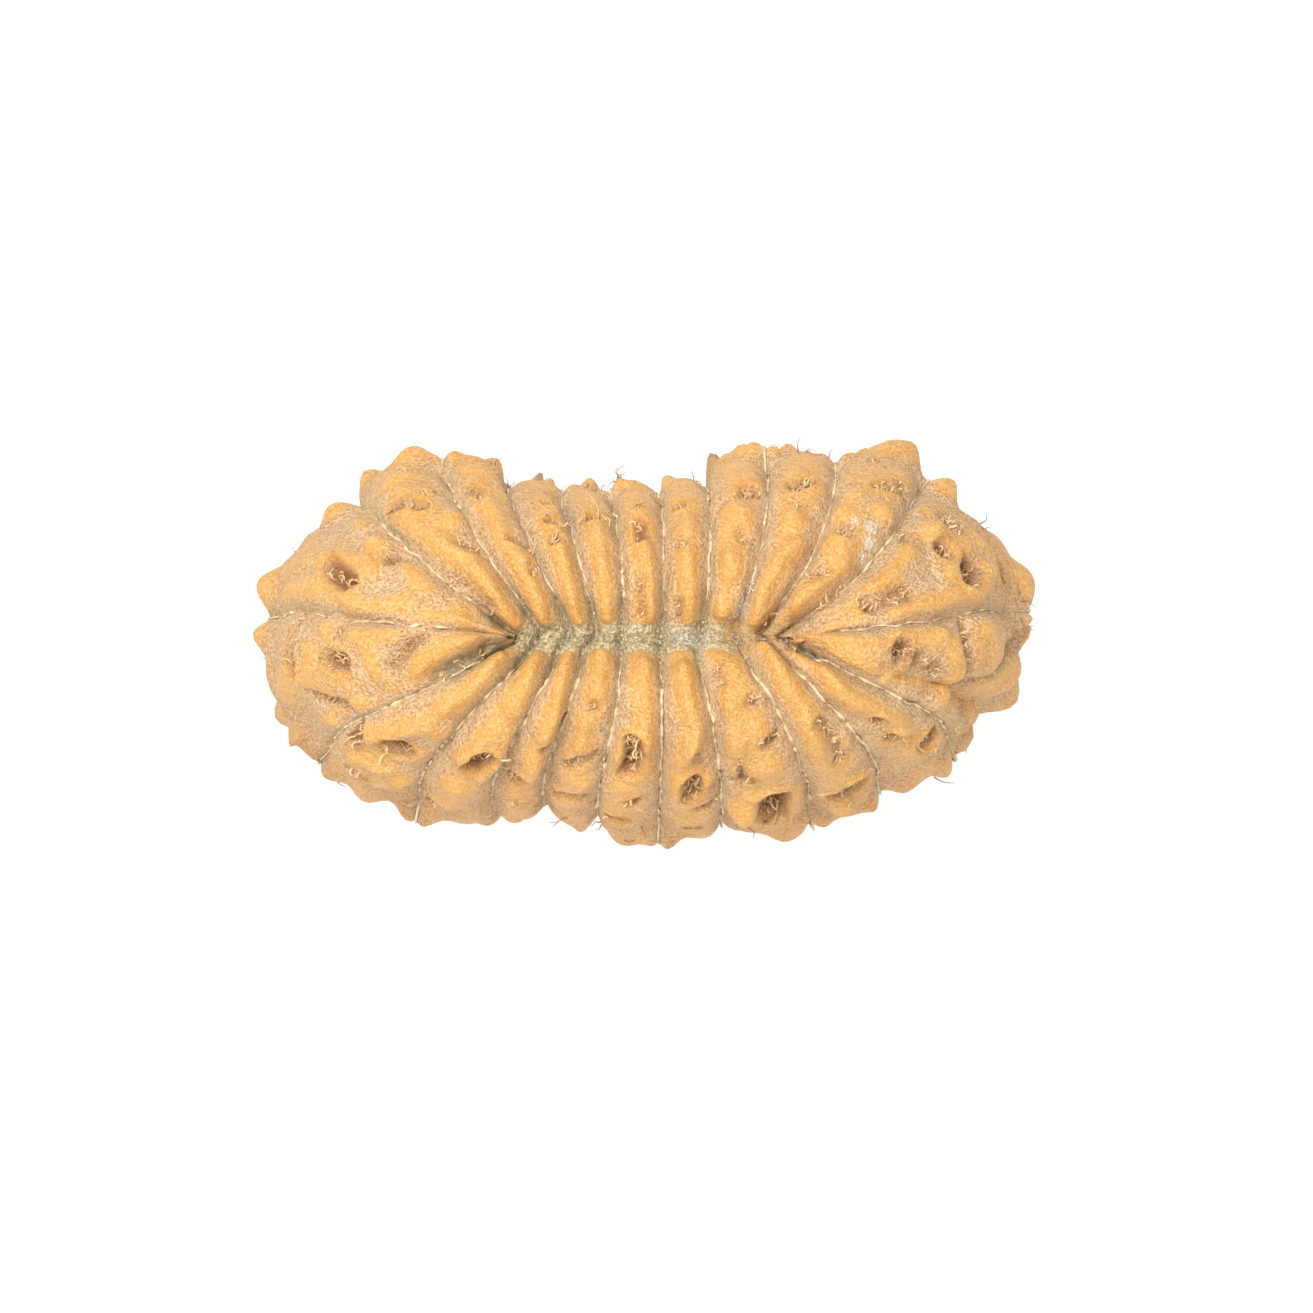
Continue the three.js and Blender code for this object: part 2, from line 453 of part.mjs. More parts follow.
// One lobe's hidden chains of knobs, ridges and pits, which shrink where the lobe narrows
function hiddenRelief(lobe, random) {
  const relief = [];
  const chains = Math.max(1, Math.round(lobeWidth(lobe, 1) / CHAIN_SPACING));
  const step = CHAIN_STEP / lowerLength(lobe);
  const start = chainStart(lobe);
  for (let chain = 0; chain < chains; chain += 1) {
    const middle = (chain + 0.5) / chains;
    let side = random() < 0.5 ? -1 : 1;
    let last = null;
    let along = start + step * random();
    while (along < CHAIN_END) {
      const size = Math.min(1, lobeWidth(lobe, along) / chains / CHAIN_FULL_WIDTH);
      const grown = THREE.MathUtils.smoothstep(along, start, start + CHAIN_GROWTH);
      const tall = size * mix(FIRST_KNOB_SHARE, 1, grown);
      const shift = (side * CHAIN_SIDESTEP * draw(SIDESTEP_SPREAD, random)) / chains;
      const place = [middle + shift, along];
      const beside = [middle - shift * PIT_SIDESTEP, along];
      relief.push([lobe, KNOB, size * draw(KNOB_SIZES, random), tall * draw(KNOB_HEIGHTS, random), place]);
      relief.push([lobe, PIT, size * draw(PIT_SIZES, random), size * draw(PIT_DEPTHS, random), beside]);
      if (last) relief.push([lobe, RIDGE, size * LINK_SIZE, size * LINK_HEIGHT, last, place]);
      last = place;
      side = -side;
      along += step * draw(STEP_SPREAD, random);
    }
  }
  return relief;
}

// Every feature of the relief, sorted by lobe, with its points laid on the smooth body. A knob may spread
// over a furrow, so the lobes on both sides have it too.
function gatherRelief() {
  const random = makeRandom(RANDOM_SEED);
  const byLobe = FURROWS.map(() => []);
  const hidden = FURROWS.flatMap((row, lobe) => hiddenRelief(lobe, random));
  for (const [lobe, kind, halfWidth, height, ...places] of [...SEEN_RELIEF, ...hidden]) {
    const points = places.map(([across, along]) => smoothPoint(lobe + across, along));
    const feature = { kind, halfWidth, height, points };
    byLobe[lobe].push(feature);
    if (kind !== KNOB) continue;
    byLobe[(lobe + 1) % LOBES].push(feature);
    byLobe[(lobe + LOBES - 1) % LOBES].push(feature);
  }
  return byLobe;
}

// The distance from a point to a chain of points
function distanceToChain(point, chain) {
  if (chain.length === 1) return point.distanceTo(chain[0]);
  let nearest = Infinity;
  const closest = new THREE.Vector3();
  for (let i = 1; i < chain.length; i += 1) {
    new THREE.Line3(chain[i - 1], chain[i]).closestPointToPoint(point, true, closest);
    nearest = Math.min(nearest, point.distanceTo(closest));
  }
  return nearest;
}

// How much one feature raises or sinks a point at a distance from it
function featureHeight(feature, distance) {
  const ratio = distance / feature.halfWidth;
  if (feature.kind === KNOB) return feature.height * Math.exp(-(ratio ** KNOB_SQUARENESS));
  if (feature.kind === RIDGE) return feature.height * Math.exp(-(ratio ** 2));
  if (feature.kind === CREASE) return -feature.height * Math.exp(-(ratio ** 2));
  const hollow = Math.exp(-(ratio ** PIT_SQUARENESS));
  const lip = Math.exp(-(((ratio - LIP_REACH) / LIP_WIDTH) ** 2));
  return feature.height * (LIP_HEIGHT * lip - hollow);
}

const reliefByLobe = gatherRelief();

// The height of the whole relief at (s, t) over the smooth body
function reliefHeight(s, t, point) {
  const lobe = Math.floor(s) % LOBES;
  const across = s - Math.floor(s);
  const width = lobeWidth(lobe, t);
  const fromFurrow = Math.min(across, 1 - across) * width;
  const fromEnd = Math.min(t, 2 - t);
  const fullness = Math.min(1, width / FULL_SWELL_WIDTH) * Math.sin(Math.PI * across) ** SWELL_SQUARENESS;
  const endSwell = mix(1, LOBE_END_SWELL, Math.exp(-((fromEnd / LOBE_END_REACH) ** 2)));
  const swell = LOBE_SWELL * fullness * endSwell;
  const nearSeam = Math.exp(-((fromEnd / SEAM_END_REACH) ** 2));
  const depth = FURROW_DEPTH + SEAM_END_DEPTH * nearSeam;
  const halfWidth = FURROW_WIDTH * Math.min(1, width / FULL_FURROW_WIDTH);
  const furrow = depth * Math.exp(-((fromFurrow / halfWidth) ** FURROW_SQUARENESS));
  const fade = 1 - Math.exp(-((fromFurrow / RELIEF_FADE) ** 2));
  let height = 0;
  for (const feature of reliefByLobe[lobe]) {
    const raised = featureHeight(feature, distanceToChain(point, feature.points));
    height += feature.kind === KNOB ? raised : raised * fade;
  }
  return swell - furrow + height;
}

// Flattens the scar and keeps the rest of the seed off the surface below
function settle(point) {
  const reach = Math.hypot(point.x / SCAR_HALF_LENGTH, point.y / SCAR_HALF_WIDTH);
  const underneath = point.z < EQUATOR_HEIGHT;
  if (underneath) point.z *= THREE.MathUtils.smoothstep(reach, 1, 1 + SCAR_FADE);
  point.z = Math.max(0, point.z);
  return point;
}

function stonePoint(s, t) {
  const point = smoothPoint(s, t);
  const height = reliefHeight(s, t, point);
  return settle(point.addScaledVector(facing(s, t), height));
}

// The s of every strip edge, closer together beside the furrows
function stripEdges() {
  const edges = [];
  FURROWS.forEach((furrow, lobe) => {
    const strips = furrow[4];
    for (let i = 0; i < strips; i += 1) {
      const even = i / strips;
      const eased = 0.5 - 0.5 * Math.cos(Math.PI * even);
      edges.push(lobe + mix(even, eased, STRIP_EASE));
    }
  });
  return edges;
}

// The t of every row
function rowLevels() {
  const levels = [];
  for (let i = 0; i <= TOP_ROWS; i += 1) levels.push(i / TOP_ROWS);
  for (let i = 1; i <= LOWER_ROWS; i += 1) levels.push(1 + i / LOWER_ROWS);
  return levels;
}

// The closed stone: a grid of lobes and rows, with a sunken floor let into the top and bottom seams
function stoneGeometry() {
  const edges = stripEdges();
  const levels = rowLevels();
  const points = [];
  const triangles = [];
  for (const s of edges) {
    for (const t of levels) points.push(stonePoint(s, t));
  }
  const columns = edges.length;
  const rows = levels.length;
  const at = (column, row) => (column % columns) * rows + row;
  for (let column = 0; column < columns; column += 1) {
    for (let row = 0; row < rows - 1; row += 1) {
      const corner = at(column + 1, row + 1);
      triangles.push(at(column, row), at(column + 1, row), corner);
      triangles.push(at(column, row), corner, at(column, row + 1));
    }
  }
  addSeamFloor(points, triangles, columns, (column) => at(column, 0), TOP_FLOOR_DROP, false);
  addSeamFloor(points, triangles, columns, (column) => at(column, rows - 1), -BOTTOM_FLOOR_DROP, true);
  const geometry = new THREE.BufferGeometry();
  geometry.setAttribute("position", new THREE.Float32BufferAttribute(points.flatMap((p) => p.toArray()), 3));
  geometry.setIndex(triangles);
  geometry.computeVertexNormals();
  return geometry;
}

// Bridges a seam from its back edge to its front edge over a line of floor points between them. The two
// ends of the seam are single points, where both edges meet.
function addSeamFloor(points, triangles, columns, edgeAt, drop, faceDown) {
  const half = columns / 2;
  const add = (a, b, c) => (faceDown ? triangles.push(a, c, b) : triangles.push(a, b, c));
  const back = [];
  const front = [];
  const floor = [];
  for (let i = 0; i <= half; i += 1) {
    back.push(edgeAt(i));
    front.push(edgeAt(columns - i));
    if (i === 0 || i === half) {
      floor.push(back[i]);
      continue;
    }
    const middle = points[back[i]].clone().lerp(points[front[i]], 0.5);
    middle.z -= drop;
    floor.push(points.length);
    points.push(settle(middle));
  }
  for (let i = 0; i < half; i += 1) {
    const next = i + 1;
    if (i > 0) {
      add(floor[i], back[next], back[i]);
      add(front[i], floor[next], floor[i]);
    }
    if (next < half) add(floor[i], floor[next], back[next]);
    add(front[i], front[next], floor[next]);
  }
}

const wood = new THREE.MeshStandardMaterial({ color: 0xd9a566, roughness: 0.62, metalness: 0 });
const stone = new THREE.Mesh(stoneGeometry(), wood);
stone.name = "rudraksha_stone";

const group = new THREE.Group();
group.name = "rudraksha_seed";
group.add(stone);

export default group;
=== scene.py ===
import itertools
import math

import bpy
import numpy as np
from bpy.props import FloatProperty, FloatVectorProperty, IntProperty, PointerProperty
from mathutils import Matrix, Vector


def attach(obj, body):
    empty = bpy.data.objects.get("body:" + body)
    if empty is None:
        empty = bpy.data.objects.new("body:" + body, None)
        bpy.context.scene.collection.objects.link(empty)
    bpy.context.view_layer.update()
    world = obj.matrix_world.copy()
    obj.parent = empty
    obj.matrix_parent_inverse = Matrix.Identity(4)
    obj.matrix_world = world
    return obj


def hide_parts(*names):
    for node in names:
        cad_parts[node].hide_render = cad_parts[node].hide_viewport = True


# The looks of a rudraksha seed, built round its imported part. Shapes are worked out in millimetres and scaled
# to metres when they go into a mesh. +X runs along the seed, -Y is its photographed front, +Z is up.
#
# A place on the stone is (s, t). s counts the furrows clockwise as seen from above, so lobe 3 lies between
# s = 3 and s = 4. t runs down a lobe: 0 at the top seam, 1 at the widest level, 2 at the bottom seam.

bl_info = {
    "name": "Rudraksha Seed",
    "version": (1, 0, 0),
    "blender": (4, 5, 0),
    "location": "3D View > Sidebar > Seed",
    "description": "Builds a many-lobed rudraksha seed with its fibres, crumbs and studio stage",
    "category": "Add Mesh",
}

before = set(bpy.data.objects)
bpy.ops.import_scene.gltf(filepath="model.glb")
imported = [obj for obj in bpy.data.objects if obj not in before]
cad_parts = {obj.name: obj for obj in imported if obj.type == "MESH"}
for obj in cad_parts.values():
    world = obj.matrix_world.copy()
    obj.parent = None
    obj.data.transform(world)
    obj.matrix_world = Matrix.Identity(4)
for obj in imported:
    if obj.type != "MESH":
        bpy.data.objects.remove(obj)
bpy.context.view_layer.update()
STONE_NODE = "rudraksha_stone"
BODY = "root"
MM = 0.001

# Sizes of the smooth body, in millimetres, as in the part
HALF_LENGTH = 18.85
BACK_DEPTH = 9.7
FRONT_DEPTH = 8.7
PLAN_POWER = 2.35
CROWN_HEIGHT = 24.2
EQUATOR_HEIGHT = 12.6
KEEL_HEIGHT = 1.0
TOP_POWER = 2.25
BOTTOM_POWER = 2.3
SEAM_Y = -1.3
VALLEY_DEPTH = 1.7
VALLEY_WIDTH = 1.7
TOP_FLOOR_DROP = 0.35
BOTTOM_SEAM_LENGTH = 0.7
BOTTOM_SEAM_WIDTH = 0.5
BOTTOM_FLOOR_DROP = 0.2
SCAR_HALF_LENGTH = 3.2
SCAR_HALF_WIDTH = 1.9
SCAR_FADE = 0.45

# Relief of every lobe
LOBE_SWELL = 0.65
FULL_SWELL_WIDTH = 2.0
SWELL_SQUARENESS = 0.7
FURROW_DEPTH = 0.35
FURROW_WIDTH = 0.4
FULL_FURROW_WIDTH = 2.6
FURROW_SQUARENESS = 1.5
SEAM_END_DEPTH = 0.2
SEAM_END_REACH = 0.22
LOBE_END_REACH = 0.045
LOBE_END_SWELL = 0.3
RELIEF_FADE = 0.3
KNOB = "knob"
RIDGE = "ridge"
CREASE = "crease"
PIT = "pit"
KNOB_SQUARENESS = 2.3
PIT_SQUARENESS = 3.5
LIP_HEIGHT = 0.22
LIP_REACH = 1.4
LIP_WIDTH = 0.45
FULL_PIT_DEPTH = 0.7

# Chains of knobs round the hidden sides
RANDOM_SEED = 22091
RANDOM_FACTOR = 48271
RANDOM_LIMIT = 2147483647
CHAIN_SPACING = 3.4
CHAIN_STEP = 2.8
CHAIN_START_BACK = 0.87
CHAIN_START_FRONT = 1.26
CHAIN_START_ENDS = 1.06
CHAIN_END = 1.84
CHAIN_SIDESTEP = 0.24
CHAIN_FULL_WIDTH = 2.6
CHAIN_GROWTH = 0.3
FIRST_KNOB_SHARE = 0.35
PIT_SIDESTEP = 1.3
SIDESTEP_SPREAD = (0.7, 1.3)
STEP_SPREAD = (0.85, 1.15)
KNOB_SIZES = (0.95, 1.25)
KNOB_HEIGHTS = (0.75, 1.15)
PIT_SIZES = (0.5, 0.7)
PIT_DEPTHS = (0.5, 0.9)
LINK_SIZE = 0.5
LINK_HEIGHT = 0.45
END_LOBES = (0, 10, 11, 21)

# Pushes of the rim: x, side, push in x and y, width, squareness
RIM_PUSHES = (
    (-1.9, 1, 0, -2.4, 5.6, 3.5),
    (13, 1, 0, 1.4, 3.2, 2),
    (-13, 1, 0, 0.7, 3.2, 2),
    (15, -1, 0, 0.9, 4, 2),
    (-5, -1, 0, 0.9, 2.9, 2),
    (17.9, -1, -2.6, 1.2, 1, 2),
    (-17.9, -1, 1.2, 0.2, 1.1, 2),
    (-16.2, 1, 0.3, -0.2, 1.8, 2),
    (4.3, 1, 0, -0.2, 1.5, 2),
)

# Furrows clockwise from the left end: seam x, seam y from the seam's line, rim angle, sideways bend
FURROWS = (
    (-6.6, 0.07, 174, 0.8),
    (-6.35, 0.26, 138.5, 0.8),
    (-5.1, 0.4, 119.5, 0.6),
    (-3.65, 0.33, 108.5, 0.2),
    (-2.3, 0.36, 100, 0),
    (-1.05, 0.36, 93.5, -0.3),
    (1, 0.4, 88.5, -0.15),
    (3, 0.43, 83, -0.35),
    (4.6, 0.43, 74, -0.7),
    (5.9, 0.3, 62, -1.05),
    (6.8, 0.1, 43, -1.3),
    (7.5, 0.07, 7, -0.9),
    (7.4, -0.07, -36, -0.7),
    (6.5, -0.26, -53.5, -0.4),
    (5, -0.3, -66.5, -0.2),
    (2.7, -0.4, -80.5, 0.05),
    (0.85, -0.36, -88.5, 0.2),
    (-1.1, -0.33, -95, 0.4),
    (-3, -0.36, -102.5, 0.45),
    (-4.25, -0.4, -110.5, 0.5),
    (-5.55, -0.33, -124, 0.5),
    (-6.5, -0.17, -147, 0.8),
)
LOBES = len(FURROWS)

# The relief seen from above: lobe, kind, half width, height or depth, points as (across, along)
SEEN_RELIEF = (
    (0, KNOB, 0.95, 1.2, (0.18, 0.93)),
    (0, KNOB, 0.8, 0.2, (0.4, 0.92)),
    (0, KNOB, 0.7, 0.2, (0.62, 0.91)),
    (0, KNOB, 0.95, 1.0, (0.88, 0.88)),
    (0, RIDGE, 0.5, 0.6, (0.43, 0.57), (0.54, 0.51), (0.59, 0.43), (0.56, 0.39)),
    (0, RIDGE, 0.75, 0.6, (0.14, 0.72), (0.18, 0.6), (0.2, 0.5), (0.17, 0.42)),
    (0, RIDGE, 0.7, 0.6, (0.11, 0.38), (0.2, 0.3), (0.35, 0.25)),
    (0, RIDGE, 0.65, 0.35, (0.78, 0.31), (0.74, 0.22)),
    (0, RIDGE, 0.4, 0.35, (0.2, 0.18), (0.28, 0.11)),
    (0, KNOB, 0.7, 0.6, (0.85, 0.455)),
    (0, KNOB, 0.55, 0.35, (0.9, 0.58)),
    (0, PIT, 0.45, 0.9, (0.42, 0.52), (0.35, 0.43)),
    (0, PIT, 0.35, 0.4, (0.8, 0.38)),
    (0, CREASE, 0.25, 0.3, (0.8, 0.375), (0.9, 0.345)),
    (1, KNOB, 1.05, 1.2, (0.74, 0.87)),
    (1, KNOB, 0.85, 0.2, (0.3, 0.87)),
    (1, PIT, 0.5, 0.9, (0.22, 0.52), (0.33, 0.49)),
    (1, PIT, 0.42, 1.0, (0.51, 0.45)),
    (1, KNOB, 0.5, 0.3, (0.4, 0.57)),
    (1, KNOB, 0.75, 0.5, (0.45, 0.66)),
    (1, PIT, 0.3, 0.35, (0.68, 0.52)),
    (1, PIT, 0.45, 0.4, (0.58, 0.7)),
    (1, KNOB, 0.65, 0.55, (0.78, 0.37)),
    (1, CREASE, 0.3, 0.35, (0.62, 0.27), (0.82, 0.25), (0.97, 0.24)),
    (1, RIDGE, 0.65, 0.6, (0.12, 0.48), (0.3, 0.34), (0.36, 0.27), (0.55, 0.2), (0.5, 0.12), (0.45, 0.04)),
    (1, CREASE, 0.35, 0.4, (0.1, 0.2), (0.24, 0.09)),
    (2, KNOB, 0.8, 0.9, (0.06, 0.83)),
    (2, KNOB, 0.6, 0.3, (0.5, 0.83)),
    (2, KNOB, 0.6, 0.3, (0.85, 0.82)),
    (2, PIT, 0.35, 0.5, (0.3, 0.52), (0.42, 0.46)),
    (2, RIDGE, 0.6, 0.4, (0.15, 0.68), (0.5, 0.64)),
    (2, CREASE, 0.25, 0.3, (0.5, 0.265), (0.85, 0.255)),
    (2, PIT, 0.3, 0.3, (0.69, 0.16)),
    (2, RIDGE, 0.55, 0.55, (0.4, 0.41), (0.4, 0.3), (0.42, 0.2), (0.5, 0.1), (0.5, 0.04)),
    (3, KNOB, 0.8, 0.3, (0.3, 0.8)),
    (3, KNOB, 0.7, 0.6, (0.92, 0.8)),
    (3, PIT, 0.4, 0.7, (0.58, 0.4)),
    (3, PIT, 0.38, 0.7, (0.52, 0.295)),
    (3, PIT, 0.3, 0.35, (0.59, 0.53)),
    (3, RIDGE, 0.5, 0.5, (0.5, 0.24), (0.52, 0.12), (0.55, 0.04)),
    (4, KNOB, 0.8, 0.5, (0.2, 0.8)),
    (4, KNOB, 0.6, 0.4, (0.92, 0.8)),
    (4, PIT, 0.45, 0.8, (0.49, 0.43)),
    (4, RIDGE, 0.5, 0.45, (0.5, 0.35), (0.5, 0.2), (0.5, 0.05)),
    (5, KNOB, 0.8, 0.4, (0.5, 0.8)),
    (5, KNOB, 0.5, 0.6, (0.12, 0.79)),
    (5, PIT, 0.35, 0.6, (0.55, 0.4), (0.55, 0.31)),
    (5, PIT, 0.3, 0.3, (0.55, 0.5)),
    (5, CREASE, 0.3, 0.35, (0.45, 0.15), (0.5, 0.06)),
    (5, RIDGE, 0.42, 0.45, (0.62, 0.26), (0.75, 0.13), (0.72, 0.05)),
    (6, KNOB, 0.8, 0.7, (0.14, 0.81)),
    (6, PIT, 0.42, 0.7, (0.41, 0.49)),
    (6, CREASE, 0.25, 0.3, (0.2, 0.29), (0.45, 0.26)),
    (6, CREASE, 0.25, 0.3, (0.35, 0.09), (0.35, 0.04)),
    (6, RIDGE, 0.5, 0.45, (0.55, 0.38), (0.55, 0.24), (0.65, 0.12), (0.65, 0.03)),
    (7, KNOB, 0.7, 0.1, (0.38, 0.83)),
    (7, KNOB, 0.7, 0.8, (0.92, 0.83)),
    (7, CREASE, 0.35, 0.6, (0.05, 0.43), (0.3, 0.445), (0.6, 0.455), (0.78, 0.47)),
    (7, PIT, 0.42, 0.6, (0.64, 0.49)),
    (7, CREASE, 0.22, 0.3, (0.53, 0.28), (0.62, 0.245), (0.78, 0.24)),
    (7, KNOB, 0.7, 0.6, (0.45, 0.17)),
    (7, KNOB, 0.55, 0.5, (0.4, 0.06)),
    (7, RIDGE, 0.65, 0.45, (0.4, 0.38), (0.6, 0.34)),
    (8, KNOB, 0.7, 0.4, (0.1, 0.84)),
    (8, KNOB, 0.7, 0.25, (0.45, 0.83)),
    (8, KNOB, 0.7, 0.45, (0.9, 0.84)),
    (8, PIT, 0.45, 0.6, (0.4, 0.5), (0.6, 0.53)),
    (8, PIT, 0.3, 0.4, (0.53, 0.39)),
    (8, KNOB, 0.6, 0.5, (0.42, 0.335)),
    (8, RIDGE, 0.55, 0.6, (0.45, 0.04), (0.35, 0.11), (0.5, 0.17), (0.75, 0.25)),
    (8, PIT, 0.3, 0.4, (0.88, 0.05)),
    (9, KNOB, 1.0, 0.7, (0.6, 0.85)),
    (9, KNOB, 0.7, 0.4, (0.08, 0.85)),
    (9, PIT, 0.42, 0.6, (0.57, 0.535), (0.68, 0.565)),
    (9, CREASE, 0.3, 0.25, (0.75, 0.62), (0.9, 0.6)),
    (9, PIT, 0.3, 0.3, (0.4, 0.72)),
    (9, KNOB, 0.65, 0.55, (0.22, 0.38)),
    (9, PIT, 0.45, 0.4, (0.42, 0.31)),
    (9, KNOB, 0.65, 0.6, (0.77, 0.43)),
    (9, KNOB, 0.6, 0.35, (0.3, 0.48)),
    (9, RIDGE, 0.7, 0.55, (0.25, 0.26), (0.5, 0.25), (0.75, 0.22)),
    (9, CREASE, 0.25, 0.3, (0.3, 0.155), (0.6, 0.17)),
    (9, RIDGE, 0.5, 0.5, (0.45, 0.09), (0.62, 0.13), (0.8, 0.19)),
    (9, CREASE, 0.32, 0.45, (0.94, 0.04), (0.96, 0.17)),
    (10, KNOB, 0.9, 1.3, (0.07, 0.86)),
    (10, KNOB, 0.8, 0.35, (0.32, 0.88)),
    (10, KNOB, 0.9, 0.8, (0.52, 0.93)),
    (10, KNOB, 1.15, 1.5, (0.8, 0.95)),
    (10, PIT, 0.4, 0.6, (0.12, 0.43)),
    (10, KNOB, 0.6, 0.6, (0.2, 0.54)),
    (10, KNOB, 0.5, 0.5, (0.07, 0.61)),
    (10, RIDGE, 0.6, 0.55, (0.18, 0.38), (0.25, 0.33), (0.3, 0.25)),
    (10, PIT, 0.55, 0.8, (0.38, 0.53)),
    (10, PIT, 0.8, 0.4, (0.27, 0.68)),
    (10, PIT, 0.6, 0.95, (0.62, 0.6), (0.7, 0.56)),
    (10, KNOB, 0.55, 0.5, (0.58, 0.48)),
    (10, RIDGE, 0.55, 0.65, (0.88, 0.27), (0.8, 0.33), (0.85, 0.4), (0.85, 0.5), (0.82, 0.6), (0.72, 0.68)),
    (10, PIT, 0.5, 0.35, (0.5, 0.2), (0.58, 0.3)),
    (10, PIT, 0.45, 0.6, (0.74, 0.82)),
    (10, RIDGE, 0.55, 0.4, (0.52, 0.72), (0.6, 0.75)),
    (11, CREASE, 0.35, 0.7, (0.06, 0.98), (0.25, 0.8), (0.38, 0.79), (0.58, 0.71)),
    (11, KNOB, 1.0, 1.4, (0.05, 0.97)),
    (11, KNOB, 0.9, 0.4, (0.32, 0.94)),
    (11, KNOB, 0.8, 0.2, (0.54, 0.98)),
    (11, KNOB, 0.95, 0.9, (0.8, 0.97)),
    (11, PIT, 0.45, 0.8, (0.27, 0.28)),
    (11, CREASE, 0.4, 0.4, (0.3, 0.31), (0.4, 0.4), (0.45, 0.47)),
    (11, RIDGE, 0.55, 0.5, (0.1, 0.06), (0.15, 0.14), (0.2, 0.21)),
    (11, RIDGE, 0.55, 0.55, (0.1, 0.26), (0.14, 0.33), (0.12, 0.4)),
    (11, RIDGE, 0.75, 0.6, (0.45, 0.15), (0.56, 0.24), (0.75, 0.3), (0.85, 0.33)),
    (11, CREASE, 0.35, 0.8, (0.03, 0.53), (0.15, 0.53), (0.25, 0.54), (0.35, 0.58), (0.45, 0.62)),
    (11, KNOB, 0.65, 0.5, (0.1, 0.62)),
    (11, RIDGE, 0.55, 0.5, (0.3, 0.48), (0.4, 0.54)),
    (11, KNOB, 0.65, 0.55, (0.84, 0.64)),
    (12, KNOB, 1.0, 1.2, (0.1, 1.08)),
    (12, KNOB, 0.8, 0.5, (0.7, 1.05)),
    (12, KNOB, 0.8, 0.45, (0.9, 1.04)),
    (12, PIT, 0.38, 0.45, (0.52, 0.465)),
    (12, PIT, 0.5, 0.75, (0.56, 0.6)),
    (12, PIT, 0.65, 1.0, (0.28, 0.76)),
    (12, RIDGE, 0.55, 0.6, (0.28, 0.16), (0.32, 0.3), (0.25, 0.4), (0.28, 0.5), (0.38, 0.57)),
    (12, RIDGE, 0.5, 0.4, (0.7, 0.26), (0.65, 0.36)),
    (12, CREASE, 0.4, 0.7, (0.1, 0.02), (0.06, 0.12)),
    (13, KNOB, 0.7, 0.8, (0.1, 1.1)),
    (13, KNOB, 0.8, 0.4, (0.36, 1.12)),
    (13, KNOB, 0.6, 0.5, (0.62, 0.98)),
    (13, KNOB, 0.8, 1.0, (0.93, 1.12)),
    (13, CREASE, 0.3, 0.5, (0.34, 0.37), (0.28, 0.43), (0.35, 0.5), (0.38, 0.57)),
    (13, PIT, 0.35, 0.4, (0.42, 0.61)),
    (13, PIT, 0.6, 0.9, (0.35, 0.83), (0.6, 0.88)),
    (13, KNOB, 0.6, 0.5, (0.15, 0.53)),
    (13, RIDGE, 0.6, 0.6, (0.5, 0.05), (0.5, 0.15), (0.45, 0.22), (0.42, 0.3), (0.58, 0.4), (0.62, 0.5)),
    (14, KNOB, 1.0, 0.8, (0.24, 1.15)),
    (14, KNOB, 0.6, 0.1, (0.78, 1.12)),
    (14, KNOB, 0.7, 0.6, (0.84, 0.86)),
    (14, PIT, 0.35, 0.4, (0.29, 0.25)),
    (14, PIT, 0.42, 0.6, (0.24, 0.43)),
    (14, KNOB, 0.6, 0.45, (0.3, 0.36)),
    (14, RIDGE, 0.5, 0.55, (0.68, 0.24), (0.7, 0.34), (0.75, 0.45), (0.78, 0.56)),
    (14, PIT, 0.4, 0.7, (0.68, 0.63)),
    (14, CREASE, 0.22, 0.4, (0.75, 0.5), (0.72, 0.62), (0.9, 0.68)),
    (14, KNOB, 0.85, 0.4, (0.35, 0.55)),
    (14, PIT, 0.75, 1.2, (0.42, 0.78), (0.47, 0.92)),
    (14, KNOB, 0.75, 0.7, (0.79, 0.82)),
    (14, CREASE, 0.3, 0.3, (0.72, 0.1), (0.72, 0.18)),
    (15, KNOB, 0.7, 0.45, (0.08, 1.12)),
    (15, KNOB, 0.8, 0.15, (0.36, 1.14)),
    (15, KNOB, 0.85, 1.3, (0.96, 1.16)),
    (15, RIDGE, 0.55, 0.65, (0.5, 0.14), (0.47, 0.22), (0.26, 0.33), (0.45, 0.41)),
    (15, RIDGE, 0.55, 0.65, (0.45, 0.41), (0.68, 0.48), (0.74, 0.6), (0.74, 0.68)),
    (15, CREASE, 0.25, 0.35, (0.38, 0.42), (0.38, 0.49)),
    (15, PIT, 0.5, 0.9, (0.5, 0.6), (0.53, 0.69)),
    (15, KNOB, 0.55, 0.5, (0.2, 0.6)),
    (15, CREASE, 0.25, 0.4, (0.1, 0.8), (0.42, 0.82)),
    (15, PIT, 0.45, 0.7, (0.52, 0.97)),
    (16, KNOB, 0.7, 0.4, (0.1, 1.1)),
    (16, KNOB, 0.9, 0.6, (0.42, 1.15)),
    (16, KNOB, 0.6, 0.1, (0.78, 1.1)),
    (16, PIT, 0.45, 1.0, (0.5, 0.41), (0.47, 0.5), (0.5, 0.57)),
    (16, PIT, 0.35, 0.5, (0.38, 0.76)),
    (16, PIT, 0.55, 0.8, (0.6, 0.92)),
    (16, RIDGE, 0.55, 0.5, (0.35, 0.12), (0.3, 0.28), (0.28, 0.42)),
    (17, KNOB, 0.8, 0.25, (0.3, 1.12)),
    (17, KNOB, 0.7, 0.1, (0.74, 1.12)),
    (17, PIT, 0.33, 0.35, (0.47, 0.28)),
    (17, CREASE, 0.35, 0.45, (0.1, 0.52), (0.42, 0.56), (0.68, 0.62)),
    (17, CREASE, 0.3, 0.45, (0.15, 0.84), (0.5, 0.82), (0.75, 0.84)),
    (17, RIDGE, 0.55, 0.45, (0.45, 0.08), (0.4, 0.2)),
